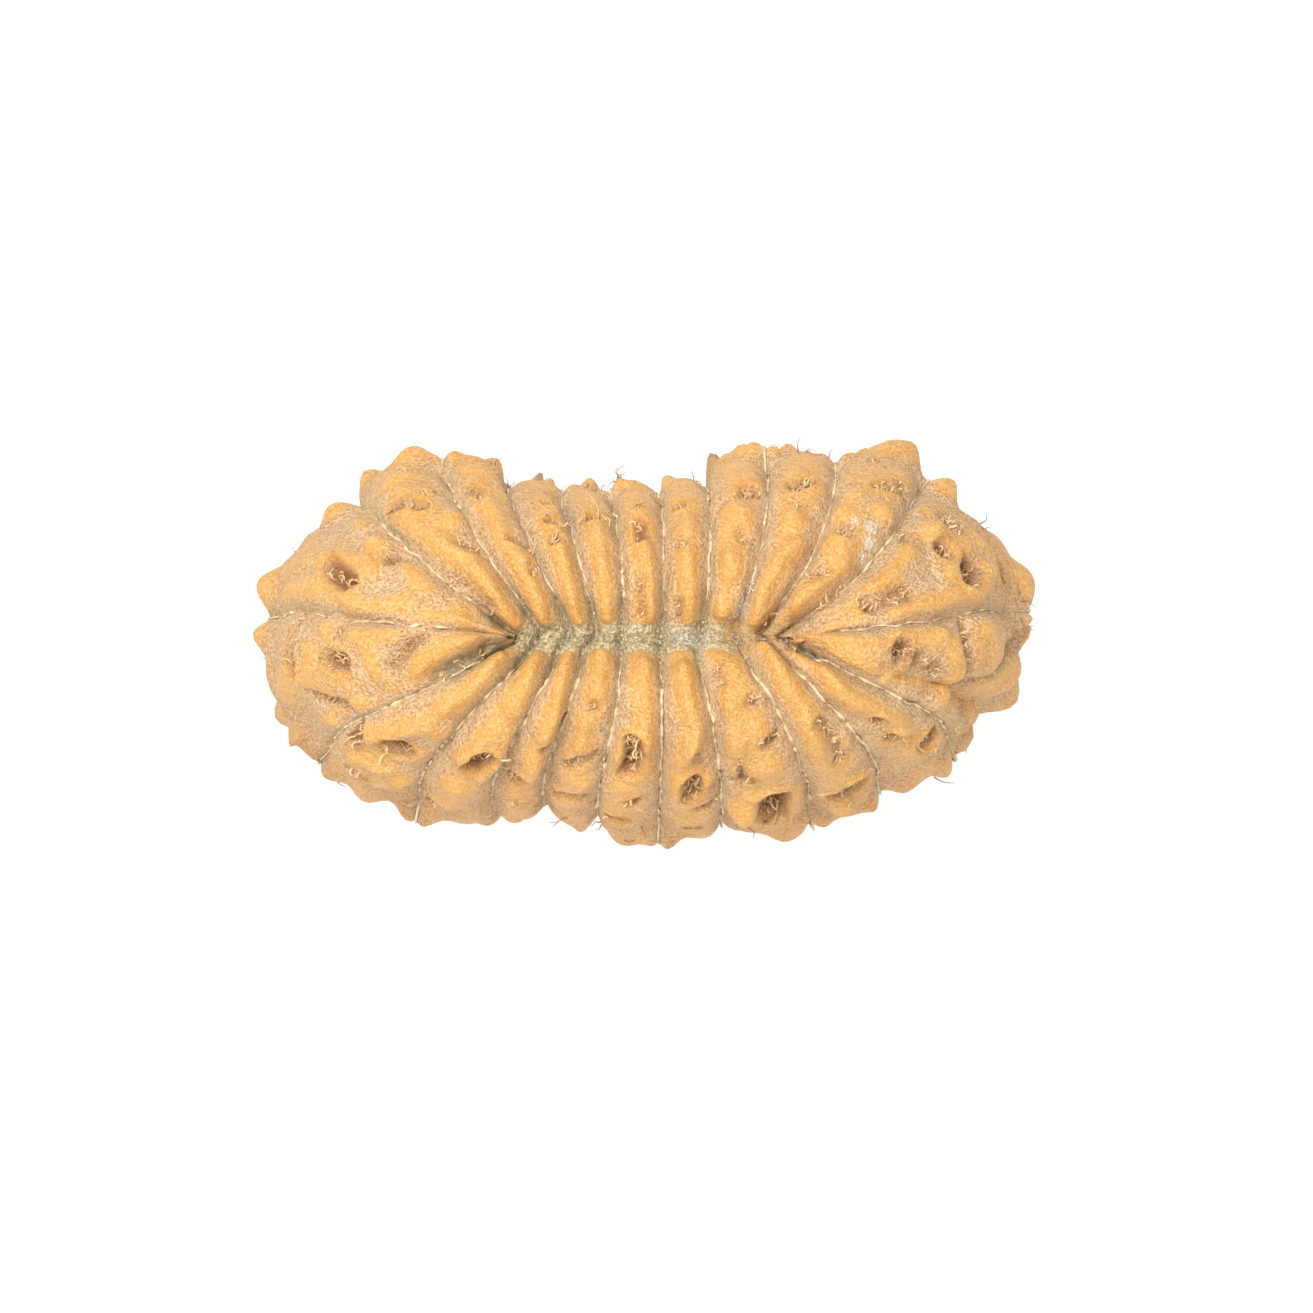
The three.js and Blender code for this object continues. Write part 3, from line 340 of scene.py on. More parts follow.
    (17, RIDGE, 0.5, 0.4, (0.6, 0.36), (0.55, 0.46)),
    (17, KNOB, 0.55, 0.45, (0.25, 0.7)),
    (18, KNOB, 0.7, 0.05, (0.2, 1.1)),
    (18, KNOB, 0.8, 0.3, (0.7, 1.12)),
    (18, PIT, 0.38, 0.45, (0.25, 0.505)),
    (18, RIDGE, 0.5, 0.55, (0.4, 0.08), (0.45, 0.2), (0.4, 0.32), (0.45, 0.42)),
    (18, PIT, 0.45, 0.6, (0.55, 0.71), (0.75, 0.68)),
    (18, PIT, 0.4, 0.5, (0.6, 0.88)),
    (18, RIDGE, 0.5, 0.45, (0.5, 0.55), (0.42, 0.65)),
    (19, KNOB, 0.9, 0.3, (0.3, 1.12)),
    (19, KNOB, 0.9, 0.95, (0.93, 1.12)),
    (19, PIT, 0.5, 1.0, (0.42, 0.5), (0.52, 0.57)),
    (19, RIDGE, 0.5, 0.6, (0.75, 0.52), (0.65, 0.42), (0.5, 0.37), (0.33, 0.4), (0.22, 0.5), (0.28, 0.62)),
    (19, KNOB, 0.7, 0.55, (0.55, 0.74)),
    (19, RIDGE, 0.5, 0.45, (0.45, 0.07), (0.4, 0.16), (0.36, 0.27)),
    (19, PIT, 0.4, 0.6, (0.72, 0.95)),
    (20, KNOB, 0.9, 0.75, (0.05, 1.1)),
    (20, KNOB, 0.9, 0.75, (0.48, 1.08)),
    (20, KNOB, 0.9, 0.9, (0.94, 1.05)),
    (20, PIT, 0.6, 1.0, (0.5, 0.57), (0.38, 0.6)),
    (20, RIDGE, 0.5, 0.6, (0.8, 0.58), (0.72, 0.5), (0.6, 0.45), (0.5, 0.39)),
    (20, KNOB, 0.65, 0.45, (0.2, 0.44)),
    (20, PIT, 0.45, 0.6, (0.86, 0.62), (0.8, 0.7)),
    (20, KNOB, 0.75, 0.6, (0.15, 0.8)),
    (20, PIT, 0.6, 0.5, (0.55, 0.9)),
    (20, RIDGE, 0.5, 0.4, (0.7, 0.75), (0.5, 0.74), (0.35, 0.72)),
    (20, RIDGE, 0.5, 0.4, (0.45, 0.1), (0.45, 0.22), (0.5, 0.32)),
    (21, KNOB, 1.1, 1.35, (0.28, 1.05)),
    (21, KNOB, 0.8, 0.15, (0.6, 1.0)),
    (21, KNOB, 0.95, 1.1, (0.92, 0.97)),
    (21, PIT, 0.38, 0.7, (0.67, 0.5), (0.64, 0.46)),
    (21, PIT, 0.45, 0.7, (0.68, 0.69)),
    (21, RIDGE, 0.35, 0.3, (0.8, 0.6), (0.74, 0.57)),
    (21, CREASE, 0.4, 0.7, (0.4, 0.7), (0.3, 0.64), (0.18, 0.6)),
    (21, CREASE, 0.35, 0.6, (0.9, 0.19), (0.78, 0.23), (0.65, 0.27), (0.52, 0.31)),
    (21, RIDGE, 0.5, 0.6, (0.88, 0.38), (0.88, 0.28)),
    (21, RIDGE, 0.6, 0.55, (0.35, 0.25), (0.45, 0.22), (0.55, 0.16), (0.65, 0.1)),
    (21, RIDGE, 0.5, 0.45, (0.75, 0.36), (0.55, 0.36)),
    (21, CREASE, 0.5, 0.6, (0.15, 0.22), (0.2, 0.15), (0.25, 0.08)),
    (21, KNOB, 0.65, 0.5, (0.14, 0.53)),
    (21, KNOB, 0.55, 0.5, (0.1, 0.72)),
    (21, KNOB, 0.65, 0.5, (0.92, 0.5)),
    (21, CREASE, 0.22, 0.3, (0.95, 0.44), (0.86, 0.46)),
    (21, CREASE, 0.3, 0.4, (0.97, 0.66), (0.82, 0.68)),
)

# The fine grid: columns in a narrow, a middle and a wide lobe, rows above and below the rim, and the
# strips across a seam's floor
NARROW_COLUMNS = 16
MIDDLE_COLUMNS = 22
WIDE_COLUMNS = 30
MIDDLE_LOBES = (1, 9, 12, 20)
STRIP_EASE = 0.5
UPPER_ROWS = 132
LOWER_ROWS = 20
FLOOR_STRIPS = 8
NOISE_PERIOD = 48

# More fibres than a pit's own: s, t, spread in millimetres, count, length in millimetres
MORE_FIBRES = (
    (4.49, 0.43, 0.25, 7, 1.5),
    (13.65, 0.82, 0.15, 4, 1.1),
    (9.95, 0.12, 0.35, 12, 0.5),
    (11.2, 0.535, 0.5, 12, 0.6),
    (21.3, 0.64, 0.4, 8, 0.6),
    (0.0, 0.3, 0.2, 5, 0.4),
    (10.27, 0.68, 0.4, 10, 0.6),
)

# Loose hairs on the rim: s, t, spread, count, length
RIM_HAIRS = (
    (0.48, 0.89, 0.2, 2, 0.8),
    (2.70, 0.81, 0.3, 3, 0.7),
    (3.08, 0.80, 0.3, 3, 0.8),
    (4.62, 0.79, 0.3, 3, 0.8),
    (4.94, 0.79, 0.3, 3, 0.9),
    (5.20, 0.80, 0.12, 9, 0.7),
    (6.76, 0.82, 0.2, 3, 1.0),
    (8.14, 0.83, 0.3, 3, 0.7),
    (8.48, 0.83, 0.3, 3, 0.9),
    (8.90, 0.84, 0.3, 3, 0.6),
    (10.38, 0.89, 0.3, 3, 0.7),
    (10.92, 0.92, 0.3, 3, 0.7),
    (14.74, 1.05, 0.2, 2, 0.9),
    (16.90, 1.10, 0.2, 2, 0.7),
    (17.48, 1.05, 0.2, 2, 0.9),
)

# Dark green stains: s, t, radius, strength
MOSS_SPOTS = (
    (11.27, 0.28, 0.42, 1.0),
    (11.34, 0.36, 0.3, 0.7),
    (11.43, 0.45, 0.25, 0.5),
    (21.12, 0.24, 0.5, 0.7),
    (21.12, 0.18, 0.6, 0.9),
    (21.15, 0.12, 0.7, 1.0),
    (21.2, 0.06, 0.7, 1.0),
    (21.4, 0.03, 0.6, 0.9),
    (12.06, 0.04, 0.35, 1.0),
    (12.05, 0.12, 0.25, 0.9),
    (1.03, 0.05, 0.6, 0.8),
    (2.0, 0.05, 0.5, 0.7),
    (3.0, 0.05, 0.45, 0.7),
    (4.0, 0.05, 0.4, 0.6),
    (13.34, 0.37, 0.22, 0.6),
    (13.29, 0.45, 0.2, 0.6),
    (13.37, 0.55, 0.2, 0.5),
    (20.0, 0.06, 0.55, 0.8),
    (19.0, 0.05, 0.45, 0.7),
    (18.0, 0.05, 0.35, 0.5),
)

# Painted shade in the dark crevices beside the seam's ends: s, t, radius, strength
CREVICE_SHADE_SPOTS = (
    (12.0, 0.03, 0.3, 1.0),
    (12.0, 0.07, 0.32, 1.0),
    (12.0, 0.12, 0.25, 0.9),
    (21.0, 0.03, 0.25, 0.5),
    (1.0, 0.025, 0.2, 0.5),
)

# White chalky patches: s, t, radius, strength
CHALK_SPOTS = (
    (9.7, 0.36, 0.26, 1.0),
    (9.82, 0.32, 0.26, 1.0),
    (9.88, 0.28, 0.22, 0.8),
    (9.45, 0.35, 0.2, 0.4),
    (7.95, 0.05, 0.4, 1.0),
    (8.0, 0.1, 0.25, 0.7),
    (13.42, 0.61, 0.22, 0.7),
)

# The furrows that lead on from the seam's ends: the height of their fill in millimetres, its half width,
# and the levels where it starts and where it fades out
TIP_FILL = 0.85
TIP_WIDTH = 0.55
TIP_START = (0.0, 0.03)
TIP_FADE = (0.2, 0.5)

# Knobs underneath are rounded between these levels and from these heights on, by passes of blurring
UNDER_LEVELS = (1.3, 1.46)
UNDER_HEIGHTS = (0.1, 0.5)
UNDER_PASSES = 26

# What stands up: the height over its blurred self, divided by a span, plus a share; and the heights
# between which the ground counts as low
RAISED_PASSES = 60
RAISED_SPAN = 0.5
RAISED_SHARE = 0.33
LOW_HEIGHTS = (-0.1, 0.75)

# Slow noise that sways the colours, and where the seam turns tan at its right and its left end
PATCH_CELL = 0.7
TAN_SWAY = 0.8
TAN_RIGHT = (3.4, 5.4)
TAN_LEFT = (6.2, 7.2)

# Threads, fibres and hairs
THREAD_LEVELS = (0.03, 1.9)
THREAD_RINGS = 260
THREAD_LIFT = 0.09
LEAST_THREAD = 0.012
FRONT_GAPS = -0.9
BACK_GAPS = -0.45
FIBRE_RINGS = 8
FIBRE_CURL = 0.2
STRAND_SIDES = 4
FIBRE_LEVEL_LENGTH = 14
PIT_FIBRES = 40
HIDDEN_PIT_FIBRES = (4, 9)
CREASE_FIBRES = 12
RANDOM_HAIRS = 26
HAIR_LEVELS = (0.95, 1.4)

# Crumbs: how wide the seam's strip of them is, and how far it lies below the crown
SEAM_STRIP = 0.65
SEAM_CRUMBS_DROP = 0.6
CHALK_LEVEL_LENGTH = 15

# The stage, in metres
LIGHT_AIM = (0, 0, 0.015)
KEY_SIZE = 0.22
KEY_PLACE = (-0.11, 0.02, 0.49)
FILL_SIZE = 0.5
FILL_PLACE = (0.2, -0.5, 0.4)
CAMERA_TARGET = (0, 0, 0.018)

# The seed of each noise and of each set of random draws
SEEDS = {
    "lumps": 3,
    "grain": 5,
    "broken wood": 7,
    "seam floor": 11,
    "patches": 21,
    "line drift": 23,
    "line gaps": 25,
    "split": 27,
    "thread sway": 31,
    "thread thickness": 33,
    "thread gaps": 35,
    "thread tone": 37,
    "fibre counts": 41,
    "fibre roots": 43,
    "fibre curl": 45,
    "fibre thickness": 47,
    "hair spots": 51,
    "hair roots": 53,
    "hair curl": 55,
    "crumbs": 61,
    "crumb shapes": 63,
}


# Shape


def mix(a, b, share):
    """The straight blend of a and b."""
    return a + (b - a) * share


def smoothstep(value, low, high):
    """Rises from 0 at low to 1 at high along 3k^2 - 2k^3."""
    share = np.clip((value - low) / (high - low), 0, 1)
    return share * share * (3 - 2 * share)


def unit(vectors):
    """Each vector divided by its length."""
    return vectors / np.maximum(np.linalg.norm(vectors, axis=-1, keepdims=True), 1e-9)


def signed_power(value, power):
    """A power that keeps the sign of its base."""
    return np.sign(value) * np.abs(value) ** power


def furrow_at(s):
    """The furrow table read between its rows; the last row leads on to the first, one turn later."""
    first = FURROWS[0]
    table = np.array(FURROWS + ((first[0], first[1], first[2] - 360, first[3]),))
    place = np.asarray(s, float) % LOBES
    lobe = np.minimum(np.floor(place).astype(int), LOBES - 1)
    return mix(table[lobe], table[lobe + 1], (place - lobe)[..., None])


def rim_point(angle):
    """The rim in plan: a superellipse, then each push added under a bell curve along X on its own side."""
    radians = np.radians(angle)
    cosine = np.cos(radians)
    sine = np.sin(radians)
    x = HALF_LENGTH * signed_power(cosine, 2 / PLAN_POWER)
    y = np.where(sine > 0, BACK_DEPTH, FRONT_DEPTH) * signed_power(sine, 2 / PLAN_POWER)
    rim = np.stack([x, y], -1)
    for at, side, push_x, push_y, width, squareness in RIM_PUSHES:
        share = np.exp(-np.abs((x - at) / width) ** squareness) * np.minimum(1, 2 * np.abs(sine))
        rim = rim + (share * (sine * side > 0))[..., None] * np.array([push_x, push_y])
    return rim


def smooth_point(s, t):
    """The smooth body: in each lobe's plane a quarter superellipse from the top seam out to the rim, then
    another back to the bottom seam, bent sideways by a parabola, with a bell-shaped valley at the seam."""
    s, t = np.broadcast_arrays(np.asarray(s, float), np.asarray(t, float))
    seam_x, seam_y, angle, bend = np.moveaxis(furrow_at(s), -1, 0)
    rim = rim_point(angle)
    on_top = t <= 1
    start_x = np.where(on_top, seam_x, BOTTOM_SEAM_LENGTH * seam_x)
    start_y = np.where(on_top, SEAM_Y + seam_y, BOTTOM_SEAM_WIDTH * seam_y)
    sweep = np.where(on_top, t, 2 - t) * np.pi / 2
    power = 2 / np.where(on_top, TOP_POWER, BOTTOM_POWER)
    out = np.abs(np.sin(sweep)) ** power
    rise = np.abs(np.cos(sweep)) ** power
    run_x = rim[..., 0] - start_x
    run_y = rim[..., 1] - start_y
    shift = np.where(on_top, bend * 4 * out * (1 - out) / np.hypot(run_x, run_y), 0)
    x = start_x + run_x * out - run_y * shift
    y = start_y + run_y * out + run_x * shift
    valley = VALLEY_DEPTH * np.exp(-((np.hypot(x - start_x, y - start_y) / VALLEY_WIDTH) ** 2))
    top = mix(EQUATOR_HEIGHT, CROWN_HEIGHT, rise) - valley
    return np.stack([x, y, np.where(on_top, top, mix(EQUATOR_HEIGHT, KEEL_HEIGHT, rise))], -1)


def facing(s, t):
    """The direction that the smooth body faces: the cross product of a step across and a step along."""
    reach = 0.01
    across = smooth_point(s + reach, t) - smooth_point(s - reach, t)
    along = smooth_point(s, np.minimum(2, t + reach)) - smooth_point(s, np.maximum(0, t - reach))
    return unit(np.cross(across, along))


def lobe_width(lobe, t):
    """The straight distance between a lobe's two furrows at a level."""
    return np.linalg.norm(smooth_point(lobe, t) - smooth_point(lobe + 1 - 1e-9, t), axis=-1)


def steady_numbers(seed):
    """Numbers from 0 to 1, each the last one times a factor, modulo a limit."""
    state = seed
    while True:
        state = state * RANDOM_FACTOR % RANDOM_LIMIT
        yield state / RANDOM_LIMIT


def chain_start(lobe):
    """Where a lobe's hidden chains start."""
    if lobe in END_LOBES:
        return CHAIN_START_ENDS
    return CHAIN_START_BACK if lobe < LOBES / 2 else CHAIN_START_FRONT


def hidden_relief(lobe, numbers):
    """One lobe's chains of knobs that step from side to side, joined by ridges, with a pit beside each."""
    draw = lambda spread: mix(spread[0], spread[1], next(numbers))
    relief = []
    chains = max(1, math.floor(float(lobe_width(lobe, 1.0)) / CHAIN_SPACING + 0.5))
    path = smooth_point(lobe + 0.5, 1 + np.arange(21) / 20)
    step = CHAIN_STEP / np.linalg.norm(np.diff(path, axis=0), axis=1).sum()
    start = chain_start(lobe)
    for chain in range(chains):
        middle = (chain + 0.5) / chains
        side = -1 if next(numbers) < 0.5 else 1
        last = None
        along = start + step * next(numbers)
        while along < CHAIN_END:
            size = min(1, float(lobe_width(lobe, along)) / chains / CHAIN_FULL_WIDTH)
            tall = size * mix(FIRST_KNOB_SHARE, 1, float(smoothstep(along, start, start + CHAIN_GROWTH)))
            shift = side * CHAIN_SIDESTEP * draw(SIDESTEP_SPREAD) / chains
            place = (middle + shift, along)
            relief.append((lobe, KNOB, size * draw(KNOB_SIZES), tall * draw(KNOB_HEIGHTS), place))
            beside = (middle - shift * PIT_SIDESTEP, along)
            relief.append((lobe, PIT, size * draw(PIT_SIZES), size * draw(PIT_DEPTHS), beside))
            if last:
                relief.append((lobe, RIDGE, size * LINK_SIZE, size * LINK_HEIGHT, last, place))
            last = place
            side = -side
            along += step * draw(STEP_SPREAD)
    return relief


def gather_relief():
    """Every feature: what is seen, then what the rule adds round the hidden sides."""
    numbers = steady_numbers(RANDOM_SEED)
    hidden = [feature for lobe in range(LOBES) for feature in hidden_relief(lobe, numbers)]
    return list(SEEN_RELIEF) + hidden


RELIEF = gather_relief()


def chain_distance(points, chain):
    """The distance from each point to the nearest of the straight pieces between the chain's points."""
    if len(chain) == 1:
        return np.linalg.norm(points - chain[0], axis=-1)
    nearest = np.full(points.shape[:-1], np.inf)
    for start, end in zip(chain[:-1], chain[1:]):
        step = end - start
        share = np.clip((points - start) @ step / (step @ step), 0, 1)
        nearest = np.minimum(nearest, np.linalg.norm(points - start - share[..., None] * step, axis=-1))
    return nearest


def feature_height(kind, half_width, height, distance):
    """A bell curve up for a knob or ridge and down for a crease; a pit is a flat-bottomed bell in a lip."""
    ratio = distance / half_width
    if kind == KNOB:
        return height * np.exp(-(ratio**KNOB_SQUARENESS))
    if kind == RIDGE:
        return height * np.exp(-(ratio**2))
    if kind == CREASE:
        return -height * np.exp(-(ratio**2))
    lip = np.exp(-(((ratio - LIP_REACH) / LIP_WIDTH) ** 2))
    return height * (LIP_HEIGHT * lip - np.exp(-(ratio**PIT_SQUARENESS)))


def draws(name):
    """The seeded random draws of that name."""
    return np.random.default_rng(SEEDS[name])


def lattice_noise(points, cell, name):
    """Smooth noise from -1 to 1: random values at the corners of cubes of the given size, blended between
    the eight corners round each point with smoothstep weights."""
    values = draws(name).uniform(-1, 1, (NOISE_PERIOD,) * 3)
    place = points / cell
    corner = np.floor(place).astype(int)
    share = smoothstep(place - corner, 0, 1)
    total = 0
    for step in itertools.product((0, 1), repeat=3):
        x, y, z = np.moveaxis((corner + step) % NOISE_PERIOD, -1, 0)
        total = total + values[x, y, z] * np.prod(np.where(step, share, 1 - share), axis=-1)
    return total


def relief_at(s, t, points):
    """The height over the smooth body, the share of a pit and of a crease, and the distance to the nearest
    furrow (+ after it, - before it): the lobe's swell, less the furrow's bell, plus every feature."""
    lobe = np.floor(s).astype(int) % LOBES
    across = s - np.floor(s)
    width = np.zeros_like(points[..., 0])
    height = np.zeros_like(width)
    pit = np.zeros_like(width)
    crack = np.zeros_like(width)
    for number in range(LOBES):
        mine = lobe == number
        if mine.any():
            width[mine] = lobe_width(number, t[mine])
    from_furrow = np.minimum(across, 1 - across) * width
    from_end = np.minimum(t, 2 - t)
    fade = 1 - np.exp(-((from_furrow / RELIEF_FADE) ** 2))
    for number, kind, half_width, tall, *places in RELIEF:
        mine = lobe == number
        if kind == KNOB:
            mine = mine | (lobe == (number + 1) % LOBES) | (lobe == (number - 1) % LOBES)
        if not mine.any():
            continue
        chain = [smooth_point(number + x, y) for x, y in places]
        distance = chain_distance(points[mine], chain)
        raised = feature_height(kind, half_width, tall, distance)
        height[mine] += raised * (1 if kind == KNOB else fade[mine])
        if kind == PIT:
            share = np.exp(-((distance / half_width) ** PIT_SQUARENESS)) * fade[mine]
            pit[mine] = np.maximum(pit[mine], share * min(1, tall / FULL_PIT_DEPTH))
        if kind == CREASE:
            crack[mine] = np.maximum(crack[mine], np.exp(-((distance / half_width) ** 2)) * fade[mine])
    full = np.minimum(1, width / FULL_SWELL_WIDTH) * np.abs(np.sin(np.pi * across)) ** SWELL_SQUARENESS
    end_swell = mix(1, LOBE_END_SWELL, np.exp(-((from_end / LOBE_END_REACH) ** 2)))
    near_seam = np.exp(-((from_end / SEAM_END_REACH) ** 2))
    depth = FURROW_DEPTH + SEAM_END_DEPTH * near_seam
    half_width = FURROW_WIDTH * np.clip(width / FULL_FURROW_WIDTH, 1e-6, 1)
    furrow = depth * np.exp(-((from_furrow / half_width) ** FURROW_SQUARENESS))
    signed = np.where(across < 0.5, from_furrow, -from_furrow)
    return LOBE_SWELL * full * end_swell - furrow + height, pit, crack, signed


def settle(points):
    """Flattens the scar underneath: heights are scaled to nothing inside its oval, and none is below 0."""
    reach = np.hypot(points[..., 0] / SCAR_HALF_LENGTH, points[..., 1] / SCAR_HALF_WIDTH)
    share = smoothstep(reach, 1, 1 + SCAR_FADE)
    height = points[..., 2]
    settled = np.where(height < EQUATOR_HEIGHT, height * share, height)
    return np.concatenate([points[..., :2], np.maximum(0, settled)[..., None]], -1)


def wrinkles(points, lowness, pit, crack, sizes):
    """Fine relief: soft lumps, grain that is stronger on low ground, and rough broken wood in pits and
    cracks, each a lattice noise."""
    lumps = lattice_noise(points, sizes.lump_size / MM, "lumps") * sizes.lump_height / MM
    grain = lattice_noise(points, sizes.grain_size / MM, "grain") * sizes.grain_height / MM
    broken = lattice_noise(points, sizes.grain_size / MM * 0.8, "broken wood") * sizes.broken_height / MM
    return lumps + grain * mix(0.45, 1.0, lowness) + broken * np.maximum(pit, crack)


def at_seam_tip(s, t, signed):
    """A bell across the two furrows that lead on from the seam's ends, fading out along them: there the
    lobes on both sides grow together."""
    nearest = np.round(s).astype(int) % LOBES
    leads_on = (nearest == 0) | (nearest == LOBES // 2)
    share = leads_on * (1 - smoothstep(t, *TIP_FADE)) * smoothstep(t, *TIP_START)
    return share * np.exp(-((signed / TIP_WIDTH) ** 2))


def stone_surface(s, t):
    """Points of the finished stone, the way they face, and the fields that its material reads: the smooth
    body, moved the way it faces by the relief, the fill at the seam's tips and the fine relief."""
    s, t = np.broadcast_arrays(np.asarray(s, float) % LOBES, np.asarray(t, float))
    base = smooth_point(s, t)
    out = facing(s, t)
    height, pit, crack, signed = relief_at(s, t, base)
    tip = at_seam_tip(s, t, signed)
    height = height + TIP_FILL * tip
    lowness = 1 - smoothstep(height, *LOW_HEIGHTS)
    height = height + wrinkles(base, lowness, pit, crack, bpy.context.scene.seed_stone)
    points = settle(base + out * height[..., None])
    fields = {"height": height, "pit": pit, "crack": crack, "signed": signed, "tip": tip}
    return points, out, fields


def lobe_columns(lobe):
    """How many columns of the fine grid a lobe has."""
    if lobe in END_LOBES:
        return WIDE_COLUMNS
    return MIDDLE_COLUMNS if lobe in MIDDLE_LOBES else NARROW_COLUMNS


def strip_edges():
    """The s of every column, closer together beside the furrows."""
    edges = []
    for lobe in range(LOBES):
        even = np.arange(lobe_columns(lobe)) / lobe_columns(lobe)
        edges.append(lobe + mix(even, 0.5 - 0.5 * np.cos(np.pi * even), STRIP_EASE))
    return np.concatenate(edges)


def row_levels():
    """The t of every row: even steps above the rim, and longer ones below it."""
    upper = np.arange(UPPER_ROWS + 1) / UPPER_ROWS
    lower = 1 + np.arange(1, LOWER_ROWS + 1) / LOWER_ROWS
    return np.concatenate([upper, lower])


def blurred(field, passes):
    """A field on the grid, averaged with its neighbours over and over; the columns close on themselves."""
    for step in range(passes):
        field = (np.roll(field, 1, 0) + 2 * field + np.roll(field, -1, 0)) / 4
        rows = np.pad(field, ((0, 0), (1, 1)), mode="edge")
        field = (rows[:, :-2] + 2 * field + rows[:, 2:]) / 4
    return field


def grid_triangles(index, closed):
    """Two triangles for each cell of a grid of vertex numbers, without those that have no area."""
    grid = np.concatenate([index, index[:1]]) if closed else index
    a, b = grid[:-1, :-1], grid[1:, :-1]
    c, d = grid[1:, 1:], grid[:-1, 1:]
    halves = ((a, b, c), (a, c, d))
    triangles = np.concatenate([np.stack(corners, -1).reshape(-1, 3) for corners in halves])
    first, second, third = triangles.T
    return triangles[(first != second) & (second != third) & (first != third)]


def seam_floor(points, edge, drop, first_new, sizes):
    """The sunken floor of a seam: straight lines from its back edge to its front edge, lowered by a tent
    curve and roughened by noise. Gives the vertex numbers as a grid, and the new points."""
    half = len(edge) // 2
    back = edge[: half + 1]
    front = edge[-np.arange(half + 1) % len(edge)]
    share = np.arange(FLOOR_STRIPS + 1) / FLOOR_STRIPS
    tent = 1 - np.abs(2 * share - 1)
    cells = mix(points[back][:, None], points[front][:, None], share[:, None])
    cells[..., 2] -= drop * tent
    rough = lattice_noise(cells, sizes.crumb_size / MM, "seam floor") * sizes.crumb_height / MM
    cells[..., 2] += rough * np.minimum(1, 3 * tent)
    inner = settle(cells[1:-1, 1:-1])
    index = np.repeat(back[:, None], FLOOR_STRIPS + 1, 1)
    index[:, -1] = front
    index[1:-1, 1:-1] = first_new + np.arange(inner[..., 0].size).reshape(inner.shape[:2])
    return index, inner.reshape(-1, 3)


def tube(paths, radii, sides):
    """Tubes along many paths at once: each ring is a regular polygon square to the path, and both ends are
    closed flat. Gives points (paths, rings, sides, 3) and the quads' corners."""
    along = unit(np.gradient(paths, axis=1))
    lean = unit(np.cross(along, np.array([0.31, 0.17, 0.93])))
    other = np.cross(along, lean)
    turn = (np.arange(sides) / sides * 2 * np.pi)[None, None, :, None]
    ring = np.cos(turn) * lean[:, :, None] + np.sin(turn) * other[:, :, None]
    points = paths[:, :, None] + ring * radii[:, :, None, None]
    count, rings = paths.shape[:2]
    number = np.arange(count * rings * sides).reshape(count, rings, sides)
    wrapped = np.concatenate([number, number[:, :, :1]], 2)
    a, b = wrapped[:, :-1, :-1], wrapped[:, :-1, 1:]
    c, d = wrapped[:, 1:, 1:], wrapped[:, 1:, :-1]
    quads = np.stack([a, b, c, d], -1).reshape(-1, 4)
    ends = np.concatenate([number[:, 0, ::-1], number[:, -1]])
    return points, np.concatenate([quads, ends])


def pebbles(centres, radii):
    """Crumbs: each is an octahedron, turned about Z, whose six corners are pushed in or out at random."""
    corners = np.array([(1, 0, 0), (0, 1, 0), (-1, 0, 0), (0, -1, 0), (0, 0, 1), (0, 0, -1)], float)
    random = draws("crumb shapes")
    turn = random.uniform(0, 2 * np.pi, (len(centres), 1))
    x = corners[:, 0] * np.cos(turn) - corners[:, 1] * np.sin(turn)
    y = corners[:, 0] * np.sin(turn) + corners[:, 1] * np.cos(turn)
    shape = np.stack([x, y, np.broadcast_to(corners[:, 2], x.shape)], -1)
    push = random.uniform(0.6, 1.3, (len(centres), 6, 1)) * radii[:, None, None]
    sides = np.array([(0, 1, 4), (1, 2, 4), (2, 3, 4), (3, 0, 4), (1, 0, 5), (2, 1, 5), (3, 2, 5), (0, 3, 5)])
    faces = sides[None] + 6 * np.arange(len(centres))[:, None, None]
    return centres[:, None] + shape * push, faces.reshape(-1, 3)


def add_object(name, data):
    """A new object in the scene that shows the data."""
    made = bpy.data.objects.new(name, data)
    bpy.context.scene.collection.objects.link(made)
    return made


def add_piece(name, points, faces, material, fields, smooth=True):
    """Puts points (millimetres) and equal-sided faces into a new mesh object at the origin, with a float
    attribute for each named field, and lets it ride on the seed's body."""
    points = points.reshape(-1, 3)
    mesh = bpy.data.meshes.new(name)
    mesh.vertices.add(len(points))
    mesh.vertices.foreach_set("co", (points * MM).astype(np.float32).ravel())
    mesh.loops.add(faces.size)
    mesh.loops.foreach_set("vertex_index", faces.astype(np.int32).ravel())
    mesh.polygons.add(len(faces))
    mesh.polygons.foreach_set("loop_start", np.arange(0, faces.size, faces.shape[1], dtype=np.int32))
    mesh.polygons.foreach_set("use_smooth", np.full(len(faces), smooth))
    mesh.update(calc_edges=True)
    for key, values in fields.items():
        attribute = mesh.attributes.new(key, "FLOAT", "POINT")
        attribute.data.foreach_set("value", values.astype(np.float32).ravel())
    mesh.materials.append(material)
    piece = add_object(name, mesh)
    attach(piece, BODY)
    return piece


